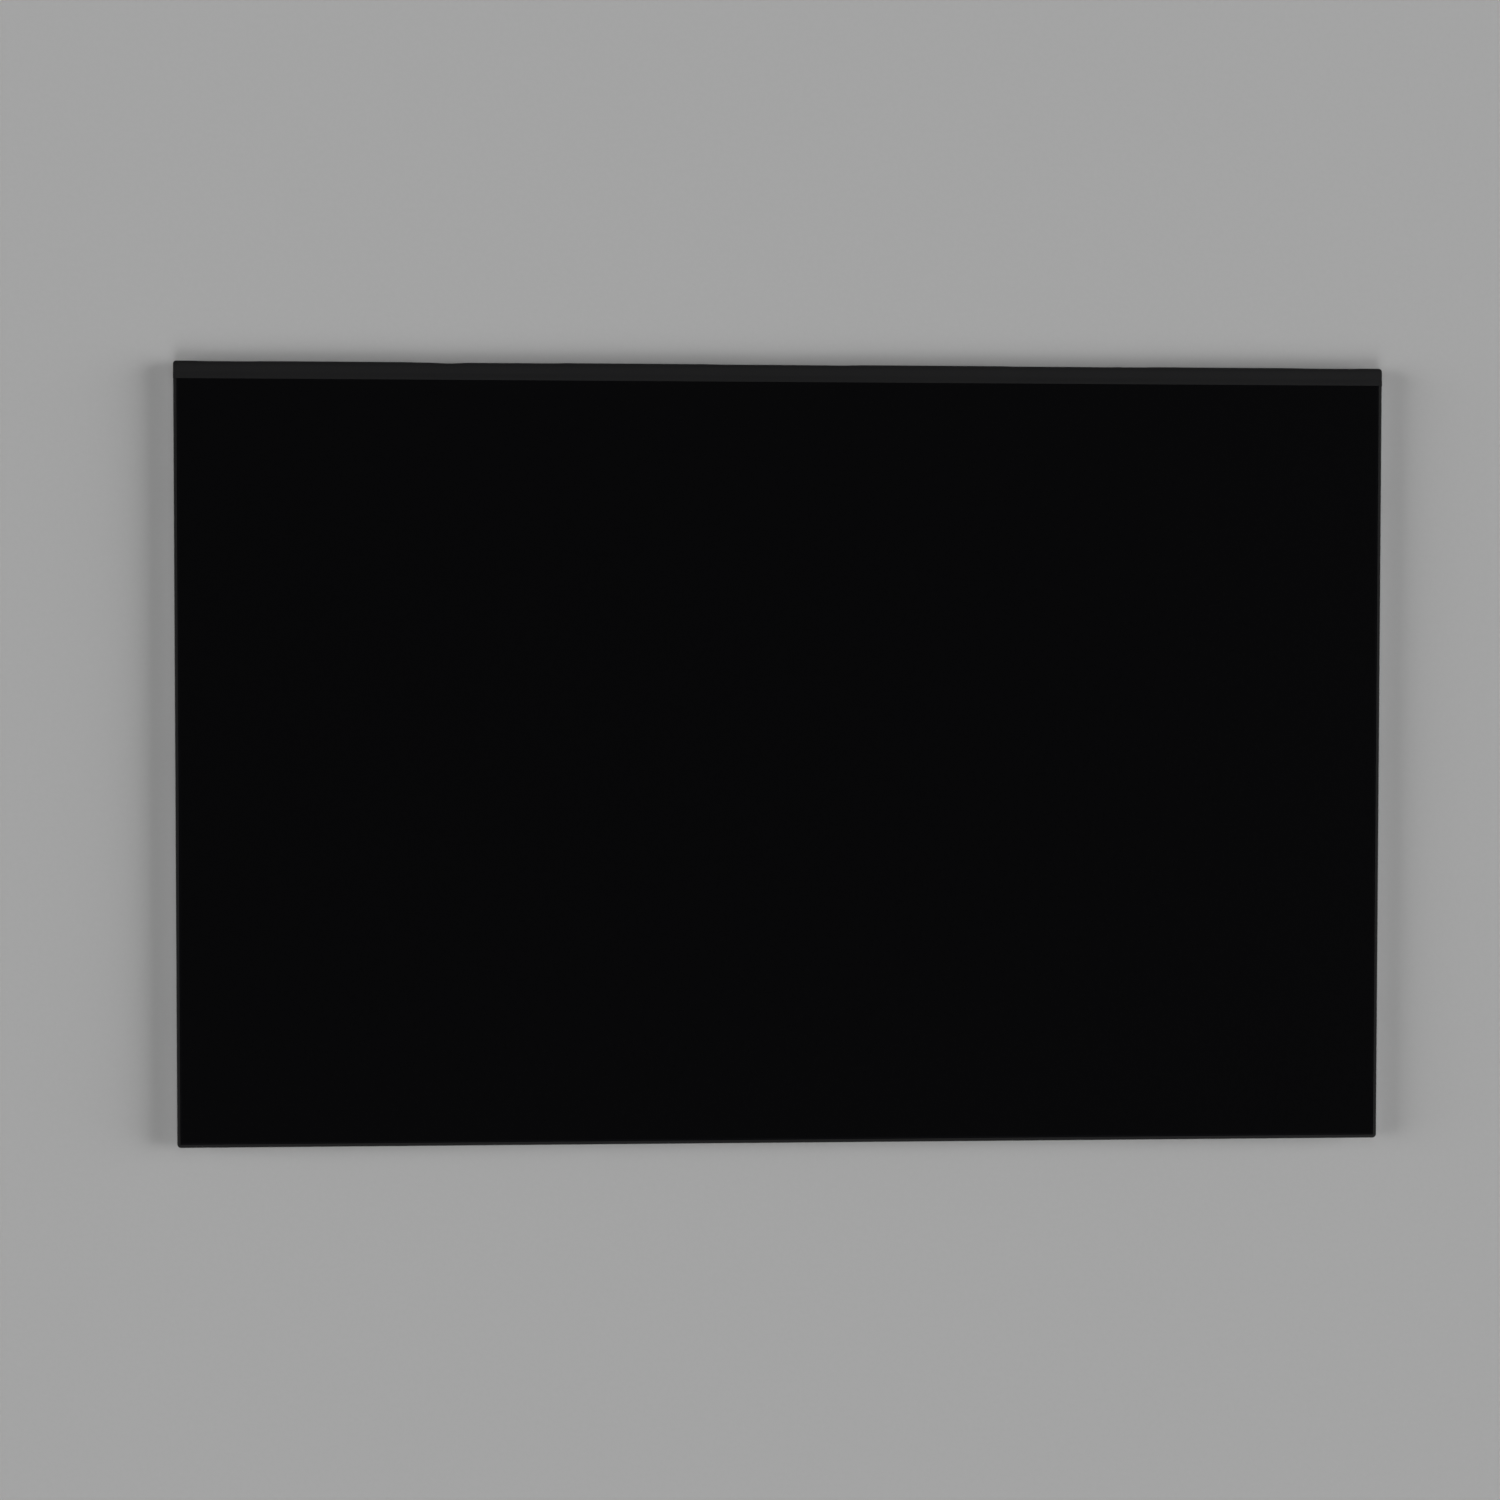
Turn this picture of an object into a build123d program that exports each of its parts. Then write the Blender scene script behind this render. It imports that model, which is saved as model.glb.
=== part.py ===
"""Bare 14-inch laptop screen panel, lying on its back with the picture side up.

A liquid-crystal cell lies on an edge-lit backlight, in a moulded frame and a pressed tray.
X runs along the long edge. Y points to the driver edge, where the cell's flexible circuits
fold round to the control board on the back. Z points out of the picture. The origin is
under the middle of the outline, at the lowest point. All sizes are in millimetres.
"""

from build123d import *

import math
import os

# Picture area and the borders round it
active_width = 301.6
active_height = 188.5
side_border = 2.6
far_border = 2.6
driver_border = 7.0

# Thicknesses, from the back to the picture
board_thickness = 0.5
adhesive_thickness = 0.05
plate_thickness = 0.25
reflector_thickness = 0.15
guide_thickness = 0.5
diffuser_thickness = 0.1
prism_thickness = 0.13
rim_tape_thickness = 0.06
rear_polarizer_thickness = 0.1
glass_thickness = 0.3
front_polarizer_thickness = 0.14
film_thickness = 0.08
cover_tape_thickness = 0.1
flex_thickness = 0.08
flex_tape_thickness = 0.07

# Moulded frame and the cell that lies in it
rim_width = 0.8
rim_below_front = 0.2
rim_round = 0.15
rim_corner = 1.0
cell_gap = 0.15
polarizer_margin = 0.35
ledge_width = 0.8
driver_bar_width = 0.9
rim_tape_reach = 0.6
rim_tape_margin = 0.1

# Sheets and light guide, with the ears that hold them in the frame
sheet_gap = 0.15
ear_length = 5.0
ear_reach = 0.6
ear_spacing = 100.0
ear_gap = 0.1

# Pressed tray
wall_drop = 0.16
wall_gap = 0.05
bend_radius = 0.2
corner_notch = 1.4
field_inset = 6.0
field_depth = 0.12
field_corner = 6.0
field_board_gap = 2.0
clip_length = 8.0
clip_height = 0.3
clip_rise = 0.3
clip_gap = 0.05
long_wall_clip_count = 4
short_wall_clip_count = 3

# Driver edge: the folded films, their chips and the cover tape
film_count = 4
film_width = 35.0
film_bond = 1.3
fold_glass_gap = 0.1
fold_wall_gap = 0.25
glass_ledge = 2.85
glass_corner_cut = 0.4
driver_chip_length = 18.0
driver_chip_width = 1.2
driver_chip_height = 0.35
driver_chip_gap = 0.275
tape_polarizer_gap = 0.1
tape_step_gap = 0.02
tape_overlap = 0.8
corner_guard_length = 4.0
corner_guard_gap = 0.05
driver_corner = 0.6

# Edge light
led_length = 3.0
led_depth = 0.85
led_height = 0.45
led_pitch = 6.0
led_window_length = 2.4
led_window_height = 0.3
led_window_depth = 0.15
led_bar_gap = 0.1
led_guide_gap = 0.05
led_sheet_setback = 0.2
flex_width = 3.0
flex_end = 1.5
flex_tape_margin = 0.1
reflector_gap = 0.1
tail_width = 8.0
tail_bond = 4.0
tail_gap = 0.1

# Control board
board_end = 18.0
board_wide_end = 10.0
board_part_zone = 7.9
board_narrow_zone = 3.9
board_corner = 0.8
adhesive_margin = 0.5
part_margin = 0.4

# Chips on the board
timing_side = 5.0
timing_height = 0.85
power_side = 4.0
power_height = 0.8
shifter_side = 4.0
shifter_height = 0.75
led_driver_side = 3.0
led_driver_height = 0.8
memory_length = 2.0
memory_width = 3.0
memory_height = 0.55
chip_chamfer = 0.08
chip_mark_radius = 0.25
chip_mark_depth = 0.05
chip_mark_inset = 0.6
chip_spacing = 7.0

# Other parts on the board
supply_inductor_side = 4.0
backlight_inductor_side = 4.5
inductor_height = 1.0
inductor_corner = 0.6
inductor_chamfer = 0.15
inductor_foot_height = 0.12
inductor_foot_length = 1.1
diode_length = 2.8
diode_width = 1.8
diode_height = 0.95
diode_draft = 6.0
diode_lead_length = 0.45
diode_lead_width = 1.0
diode_lead_thickness = 0.2
fuse_length = 3.2
fuse_width = 1.6
fuse_height = 0.6
large_capacitor_length = 1.6
large_capacitor_width = 0.8
large_capacitor_height = 0.8
capacitor_length = 1.0
capacitor_width = 0.5
capacitor_height = 0.5
resistor_height = 0.35
cap_share = 0.25
cap_wrap = 0.02
part_gap = 0.5
column_pitch = 1.3

# Signal socket
contact_count = 30
contact_pitch = 0.5
contact_width = 0.2
contact_thickness = 0.1
contact_foot = 0.45
contact_setback = 0.3
contact_slot_gap = 0.04
socket_height = 1.05
socket_depth = 4.0
socket_end = 1.6
socket_floor = 0.25
socket_setback = 0.1
mouth_depth = 2.4
mouth_end = 0.75
shell_thickness = 0.12
shell_leg_setback = 0.6
shell_window_length = 1.6
shell_window_width = 0.5
shell_window_inset = 2.4

# Outline, with Y = 0 half-way between the far edge and the driver edge
panel_width = active_width + 2 * side_border
panel_height = active_height + far_border + driver_border
half_width = panel_width / 2
driver_edge = panel_height / 2
far_edge = -driver_edge

# Levels, from the tallest part on the board's rear face up to the picture
tallest_part = max(socket_height, inductor_height, diode_height, timing_height, power_height,
                   shifter_height, led_driver_height, large_capacitor_height, capacitor_height,
                   fuse_height, memory_height, resistor_height,
                   cover_tape_thickness + max(film_thickness, flex_thickness))
board_rear = tallest_part
board_front = board_rear + board_thickness
seat_level = board_front + adhesive_thickness
floor_level = seat_level + plate_thickness
guide_level = floor_level + max(reflector_thickness, flex_thickness + flex_tape_thickness)
diffuser_level = guide_level + guide_thickness
lower_prism_level = diffuser_level + diffuser_thickness
upper_prism_level = lower_prism_level + prism_thickness
rim_tape_level = upper_prism_level + prism_thickness
cell_level = rim_tape_level + rim_tape_thickness
array_level = cell_level + rear_polarizer_thickness
filter_level = array_level + glass_thickness
front_polarizer_level = filter_level + glass_thickness
front_level = front_polarizer_level + front_polarizer_thickness
rim_level = front_level - rim_below_front
wall_level = rim_tape_level - wall_drop
wall_height = wall_level - seat_level
shoulder_level = wall_level + wall_gap

# Insets from the outline on the three plain edges
wall_inset = plate_thickness + wall_gap
glass_inset = rim_width + cell_gap
polarizer_inset = glass_inset + polarizer_margin
opening_inset = rim_width + ledge_width
sheet_inset = opening_inset + sheet_gap
rim_tape_inset = sheet_inset + rim_tape_reach

# The fold: films run from the glass ledge round to the board's rear face
fold_radius = (filter_level - board_rear) / 2
fold_level = (filter_level + board_rear) / 2
tape_radius = fold_radius + film_thickness
fold_line = driver_edge - tape_radius - cover_tape_thickness

# Places across the driver edge
array_driver = fold_line - fold_glass_gap
filter_driver = array_driver - glass_ledge
polarizer_driver = filter_driver - polarizer_margin
tape_front = polarizer_driver + tape_polarizer_gap
wall_outer = fold_line - fold_wall_gap
wall_inner = wall_outer - plate_thickness
bar_outer = wall_inner - wall_gap
bar_inner = bar_outer - driver_bar_width
led_outer = bar_inner - led_bar_gap
led_inner = led_outer - led_depth
guide_driver = led_inner - led_guide_gap
sheet_driver = guide_driver - led_sheet_setback
flex_outer = bar_inner - led_bar_gap / 2
flex_inner = flex_outer - flex_width
reflector_driver = flex_inner - reflector_gap
board_outer = fold_line - driver_chip_width - 2 * driver_chip_gap
film_rear_end = board_outer - film_bond
tape_rear_end = film_rear_end - tape_overlap
board_inner = tape_rear_end - board_part_zone
board_narrow_inner = tape_rear_end - board_narrow_zone
driver_chip_line = (board_outer + fold_line) / 2

# Places along the board
film_pitch = active_width / film_count
tail_x = -film_pitch
socket_x = film_pitch
socket_mouth = board_inner + socket_setback
socket_length = (contact_count - 1) * contact_pitch + 2 * mouth_end + 2 * socket_end
socket_room = socket_length + 2 * shell_thickness
board_length = (film_count - 1) * film_pitch + film_width + 2 * board_end
board_wide_length = 2 * socket_x + socket_room + 2 * board_wide_end
part_line = (board_inner + tape_rear_end) / 2
led_driver_x = tail_x + tail_width / 2 + 3 * chip_spacing
power_x = -film_pitch / 4
shifter_x = power_x + 3 * chip_spacing
memory_x = shifter_x + 2 * chip_spacing
timing_x = memory_x + 1.5 * chip_spacing


def spread(count, pitch):
    """Places of evenly pitched things about zero."""
    return [(index - (count - 1) / 2) * pitch for index in range(count)]


def strip(x_low, x_high, y_low, y_high, level, thickness):
    """A flat rectangular layer between two corners, from a level upwards."""
    outline = Rectangle(x_high - x_low, y_high - y_low)
    place = Pos((x_low + x_high) / 2, (y_low + y_high) / 2, level)
    return extrude(place * outline, thickness)


def layer(inset, y_high, level, thickness):
    """A flat layer held in from the three plain edges, up to a line at the driver edge."""
    side = half_width - inset
    return strip(-side, side, far_edge + inset, y_high, level, thickness)


def ear_places():
    """Middles of the sheets' ears, on both short edges."""
    side = half_width - sheet_inset
    return [Pos(end * side, y) for end in (-1, 1) for y in (-ear_spacing / 2, ear_spacing / 2)]


def eared_layer(y_high, level, thickness):
    """A backlight layer with ears on its short edges."""
    sheet = layer(sheet_inset, y_high, level, thickness)
    ear = extrude(Pos(0, 0, level) * Rectangle(2 * ear_reach, ear_length), thickness)
    for place in ear_places():
        sheet += place * ear
    return sheet


def fold_face(turn, low, high, thickness, y_front, y_rear):
    """Section of a strip folded in two, with its inner faces at a low and a high level."""
    middle = (low + high) / 2
    inner = (high - low) / 2
    outer = inner + thickness
    edge = Polyline((turn, middle + inner), (y_front, middle + inner), (y_front, middle + outer),
                    (turn, middle + outer))
    edge += ThreePointArc((turn, middle + outer), (turn + outer, middle), (turn, middle - outer))
    edge += Polyline((turn, middle - outer), (y_rear, middle - outer), (y_rear, middle - inner),
                     (turn, middle - inner))
    edge += ThreePointArc((turn, middle - inner), (turn + inner, middle), (turn, middle + inner))
    return make_face(Plane.YZ * edge)


def on_board(part, x, y):
    """Turn a part that stands on Z = 0 over, and put it on the board's rear face."""
    return Pos(x, y, board_rear) * Rot(180, 0, 0) * part


def clip_places():
    """Clip places on the three plain walls, with X along the wall and Y outwards."""
    along = spread(long_wall_clip_count, panel_width / long_wall_clip_count)
    across = spread(short_wall_clip_count, panel_height / short_wall_clip_count)
    far = [Pos(x, far_edge, 0) * Rot(0, 0, 180) for x in along]
    left = [Pos(-half_width, y, 0) * Rot(0, 0, 90) for y in across]
    right = [Pos(half_width, y, 0) * Rot(0, 0, -90) for y in across]
    return far + left + right


def make_back_plate():
    """Pressed tray: a field pressed out of the floor, folded walls, clip windows and notches."""
    depth = wall_outer - far_edge
    middle = Pos(0, (wall_outer + far_edge) / 2, seat_level)
    tray = extrude(middle * Rectangle(panel_width, depth), wall_height)
    outer_bend = bend_radius + plate_thickness
    tray = fillet(tray.faces().sort_by(Axis.Z)[0].edges(), outer_bend)
    inside = extrude(middle * Pos(0, 0, plate_thickness)
                     * Rectangle(panel_width - 2 * plate_thickness, depth - 2 * plate_thickness), wall_height)
    inside = fillet(inside.faces().sort_by(Axis.Z)[0].edges(), bend_radius)
    tray -= inside

    field_high = board_inner - field_board_gap
    field_low = far_edge + field_inset
    field_width = panel_width - 2 * field_inset
    field_height = field_high - field_low
    field_place = Pos(0, (field_high + field_low) / 2, 0)

    def field(level, shrink):
        """The field's outline at a level, drawn in where the pressed step slopes."""
        outline = RectangleRounded(field_width - 2 * shrink, field_height - 2 * shrink, field_corner - shrink)
        return field_place * Pos(0, 0, level) * outline

    # The step slopes at 45 degrees, and this keeps the sheet's thickness on the slope
    turn = plate_thickness * math.tan(math.radians(22.5))
    tray += loft([field(seat_level, 0), field(seat_level - field_depth, field_depth)])
    tray -= loft([field(floor_level, turn), field(floor_level - field_depth, field_depth + turn)])

    notch = extrude(Rectangle(2 * corner_notch, 2 * corner_notch), front_level)
    for x in (-half_width, half_width):
        for y in (far_edge, wall_outer):
            tray -= Pos(x, y, 0) * notch
    window = Pos(0, 0, floor_level + clip_rise + clip_height / 2) * Box(
        clip_length + 2 * clip_gap, 3 * plate_thickness, clip_height + 2 * clip_gap)
    for place in clip_places():
        tray -= place * window
    tail_half = tail_width / 2 + tail_gap
    tray -= strip(tail_x - tail_half, tail_x + tail_half, wall_inner - bend_radius, driver_edge,
                  floor_level, wall_height)
    return tray


def make_mould_frame():
    """Moulded frame: a rim round the cell, a ledge under it and a bar behind the lamps."""
    rim = strip(-half_width, half_width, far_edge, bar_outer, shoulder_level, rim_level - shoulder_level)
    rim = fillet(rim.edges().filter_by(Axis.Z).sort_by(Axis.Y)[:2], rim_corner)
    rim = fillet(rim.faces().sort_by(Axis.Z)[-1].edges(), rim_round)
    # The lower part stands inside the tray's walls, and clears the bend at their foot
    foot = layer(wall_inset, bar_outer, floor_level, shoulder_level - floor_level)
    frame = rim + chamfer(foot.faces().sort_by(Axis.Z)[0].edges(), bend_radius)
    frame -= layer(opening_inset, bar_inner, floor_level, front_level)
    frame -= layer(rim_width, driver_edge, rim_tape_level, front_level)

    # Ramped catches reach into the windows in the tray's walls
    catch_low = floor_level + clip_rise
    catch_edge = Polyline((-wall_inset, catch_low), (-wall_gap, catch_low),
                          (-wall_gap, catch_low + clip_height / 2), (-wall_inset, catch_low + clip_height),
                          close=True)
    catch = extrude(make_face(Plane.YZ * catch_edge), clip_length / 2, both=True)
    for place in clip_places():
        frame += place * catch

    # The rim is lower where the cover tape runs over it
    frame -= strip(-half_width, half_width, polarizer_driver, driver_edge, filter_level, front_level)
    frame += make_corner_guards()
    pocket = extrude(Pos(0, 0, floor_level) * Rectangle(2 * (ear_reach + ear_gap), ear_length + 2 * ear_gap),
                     rim_tape_level - floor_level)
    for place in ear_places():
        frame -= place * pocket
    tail_half = tail_width / 2 + tail_gap
    frame -= strip(tail_x - tail_half, tail_x + tail_half, led_inner, driver_edge,
                   floor_level, flex_thickness + tail_gap)
    return frame


def corner_trim(y_high):
    """The outline as a block up to a line at the driver edge, with its two corners there rounded."""
    block = strip(-half_width, half_width, far_edge, y_high, 0, front_level)
    return fillet(block.edges().filter_by(Axis.Z).sort_by(Axis.Y)[-2:], driver_corner)


def make_corner_guards():
    """Round-ended blocks at the frame's two driver corners, which fill the ends of the fold."""
    radius = tape_radius - corner_guard_gap
    half_length = corner_guard_length / 2
    glass_side = half_width - rim_width
    round_end = Pos(0, fold_line, fold_level) * Rot(0, 90, 0) * Circle(radius)
    block = extrude(round_end, half_length, both=True)
    block += strip(-half_length, half_length, bar_outer, fold_line, shoulder_level,
                   fold_level + radius - shoulder_level)
    guards = []
    for side in (-1, 1):
        guard = Pos(side * (half_width - half_length), 0, 0) * block
        guard -= strip(-half_width, half_width, far_edge, wall_outer + wall_gap, 0, shoulder_level)
        guard -= strip(-half_width, half_width, far_edge, driver_edge, filter_level, front_level)
        guard -= strip(-glass_side, glass_side, far_edge, array_driver + corner_guard_gap,
                       rim_tape_level, front_level)
        guards.append(guard & corner_trim(fold_line + radius))
    return guards


def make_array_glass():
    """The cell's rear glass, with its two corners at the driver edge cut off."""
    glass = layer(glass_inset, array_driver, array_level, glass_thickness)
    corners = glass.edges().filter_by(Axis.Z).sort_by(Axis.Y)[-2:]
    return chamfer(corners, glass_corner_cut)


def make_rim_tape():
    """Frame of thin tape that holds the sheets down and carries the cell."""
    low = glass_inset + rim_tape_margin
    tape = layer(low, bar_outer - rim_tape_margin, rim_tape_level, rim_tape_thickness)
    return tape - layer(rim_tape_inset, sheet_driver - rim_tape_reach - sheet_gap, rim_tape_level,
                        rim_tape_thickness)


def make_cover_tape():
    """Black tape from the filter glass over the films, round the fold and onto the board."""
    film_top = filter_level + film_thickness
    tape_top = front_polarizer_level + cover_tape_thickness
    riser = filter_driver + tape_step_gap
    step_edge = Polyline((tape_front, front_polarizer_level), (riser, front_polarizer_level),
                         (riser, film_top), (riser + cover_tape_thickness, film_top),
                         (riser + cover_tape_thickness, tape_top), (tape_front, tape_top), close=True)
    section = fold_face(fold_line, board_rear - film_thickness, film_top, cover_tape_thickness,
                        riser, tape_rear_end)
    section += make_face(Plane.YZ * step_edge)
    return extrude(section, half_width, both=True) & corner_trim(driver_edge)


def make_driver_film():
    """One flexible circuit, from the glass ledge round to the board."""
    section = fold_face(fold_line, board_rear, filter_level, film_thickness,
                        array_driver - film_bond, film_rear_end)
    return extrude(section, film_width / 2, both=True)


def make_driver_chip():
    """Bare chip on the inner side of a film, between the board and the fold."""
    length, width = driver_chip_length / 2, driver_chip_width / 2
    return strip(-length, length, driver_chip_line - width, driver_chip_line + width,
                 board_rear, driver_chip_height)


def make_leds():
    """Row of side-view lamps with recessed windows that face the light guide."""
    room = 2 * (half_width - sheet_inset) - led_length
    count = math.floor(room / led_pitch) + 1
    level = floor_level + flex_thickness
    lamp = strip(-led_length / 2, led_length / 2, led_inner, led_outer, level, led_height)
    lamp -= Pos(0, led_inner, level + led_height / 2) * Box(
        led_window_length, 2 * led_window_depth, led_window_height)
    return Compound(children=[Pos(x, 0, 0) * lamp for x in spread(count, led_pitch)])


def make_led_flex():
    """The lamps' flexible circuit, with a tail that folds under the tray to the board."""
    side = half_width - sheet_inset - flex_end
    flex = strip(-side, side, flex_inner, flex_outer, floor_level, flex_thickness)
    section = fold_face(wall_outer + tail_gap, board_rear, floor_level, flex_thickness,
                        flex_outer, board_outer - tail_bond)
    return flex + Pos(tail_x, 0, 0) * extrude(section, tail_width / 2, both=True)


def make_control_board():
    """Long narrow board with a wider middle, which the chips and the socket need."""
    outline = Sketch()
    for length, inner in ((board_length, board_narrow_inner), (board_wide_length, board_inner)):
        outline += Pos(0, (board_outer + inner) / 2) * Rectangle(length, board_outer - inner)
    outline = fillet(outline.vertices(), board_corner)
    return extrude(Pos(0, 0, board_rear) * outline, board_thickness)


def make_board_adhesive():
    """One long strip of adhesive between the board and the tray."""
    side = board_length / 2 - adhesive_margin
    return strip(-side, side, board_narrow_inner + adhesive_margin, board_outer - adhesive_margin,
                 board_front, adhesive_thickness)


def make_chip(length, width, height):
    """Moulded chip with chamfered upper edges and a round mark at its first corner."""
    body = extrude(Rectangle(length, width), height)
    body = chamfer(body.faces().sort_by(Axis.Z)[-1].edges(), chip_chamfer)
    mark = Pos(chip_mark_inset - length / 2, width / 2 - chip_mark_inset, height) * Cylinder(
        chip_mark_radius, 2 * chip_mark_depth)
    return body - mark


def make_inductor(side):
    """Moulded power inductor with two flat feet."""
    body = extrude(Pos(0, 0, inductor_foot_height) * RectangleRounded(side, side, inductor_corner),
                   inductor_height - inductor_foot_height)
    body = chamfer(body.faces().sort_by(Axis.Z)[-1].edges(), inductor_chamfer)
    foot = extrude(Rectangle(inductor_foot_length, side - 2 * inductor_corner), inductor_foot_height)
    for end in (-1, 1):
        body += Pos(end * (side - inductor_foot_length) / 2, 0, 0) * foot
    return body


def make_diode():
    """Flat-lead diode: a tapered body with a lead at each end."""
    body = extrude(Rectangle(diode_length, diode_width), diode_height, taper=diode_draft)
    lead_span = diode_length + 2 * diode_lead_length
    return body + extrude(Rectangle(lead_span, diode_lead_width), diode_lead_thickness)


def make_end_capped(length, width, height):
    """Small two-ended part: a block with slightly larger metal ends."""
    body = extrude(Rectangle(length, width - 2 * cap_wrap), height - cap_wrap)
    end_length = cap_share * length
    end = extrude(Rectangle(end_length, width), height)
    for side in (-1, 1):
        body += Pos(side * (length - end_length) / 2, 0, 0) * end
    return body


def column(part, part_length, x, room, count):
    """Two columns of small parts, one on each side of something that takes up some room."""
    offset = room / 2 + part_gap + part_length / 2
    return [on_board(part, x + side * offset, part_line + y)
            for side in (-1, 1) for y in spread(count, column_pitch)]


def make_capacitors():
    """Ceramic capacitors beside the chips, the inductors, the films and the socket."""
    small = make_end_capped(capacitor_length, capacitor_width, capacitor_height)
    large = make_end_capped(large_capacitor_length, large_capacitor_width, large_capacitor_height)
    parts = column(small, capacitor_length, timing_x, timing_side, 4)
    parts += column(small, capacitor_length, power_x, power_side, 3)
    parts += column(small, capacitor_length, shifter_x, shifter_side, 3)
    for x in supply_inductor_places():
        parts += column(large, large_capacitor_length, x, supply_inductor_side, 2)
    film_row = tape_rear_end - part_margin - capacitor_length / 2
    upright = Rot(0, 0, 90) * small
    for film_x in spread(film_count, film_pitch):
        parts += [on_board(upright, film_x + x, film_row) for x in spread(3, 2 * column_pitch)]
    parts += column(small, capacitor_length, socket_x, socket_room, 3)
    return Compound(children=parts)


def make_resistors():
    """Chip resistors beside the lamp driver and the memory."""
    part = make_end_capped(capacitor_length, capacitor_width, resistor_height)
    parts = column(part, capacitor_length, led_driver_x, led_driver_side, 3)
    parts += column(part, capacitor_length, memory_x, memory_length, 2)
    return Compound(children=parts)


def supply_inductor_places():
    """Places of the two supply inductors, one on each side of the power chip."""
    room = power_side / 2 + 2 * part_gap + capacitor_length
    offset = room + 2 * part_gap + large_capacitor_length + supply_inductor_side / 2
    return [power_x - offset, power_x + offset]


def make_socket_housing():
    """Socket body with a mouth that faces the panel's middle and a slot for each contact."""
    height = socket_height - shell_thickness
    body = strip(-socket_length / 2, socket_length / 2, -socket_depth, 0, 0, height)
    mouth = socket_length / 2 - socket_end
    body -= strip(-mouth, mouth, -mouth_depth, 0, socket_floor, height)
    slot_half = contact_width / 2 + contact_slot_gap
    slot = strip(-slot_half, slot_half, -socket_depth, -mouth_depth, socket_floor,
                 contact_thickness + contact_slot_gap)
    for x in spread(contact_count, contact_pitch):
        body -= Pos(x, 0, 0) * slot
    return on_board(body, socket_x, socket_mouth)


def make_socket_contacts():
    """Spring contacts that lie on the mouth's floor and step down to the board behind it."""
    top = socket_floor + contact_thickness
    back = -socket_depth - contact_slot_gap
    heel = back - contact_thickness
    edge = Polyline((-contact_setback, socket_floor), (-contact_setback, top), (heel, top),
                    (heel, contact_thickness), (back - contact_foot, contact_thickness),
                    (back - contact_foot, 0), (back, 0), (back, socket_floor), close=True)
    contact = extrude(make_face(Plane.YZ * edge), contact_width / 2, both=True)
    return Compound(children=[on_board(contact, socket_x + x, socket_mouth)
                              for x in spread(contact_count, contact_pitch)])


def make_socket_shell():
    """Folded metal cover over the socket, with a leg down each end and two lock windows."""
    outer = socket_length / 2 + shell_thickness
    leg_long = socket_depth - 2 * shell_leg_setback
    shell = strip(-outer, outer, -socket_depth, 0, socket_height - shell_thickness, shell_thickness)
    leg = extrude(Rectangle(shell_thickness, leg_long), socket_height)
    window = Box(shell_window_length, shell_window_width, 4 * shell_thickness)
    for side in (-1, 1):
        shell += Pos(side * (outer - shell_thickness / 2), -socket_depth / 2, 0) * leg
        shell -= Pos(side * (outer - shell_window_inset), -mouth_depth / 2, socket_height) * window
    return on_board(shell, socket_x, socket_mouth)


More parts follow.
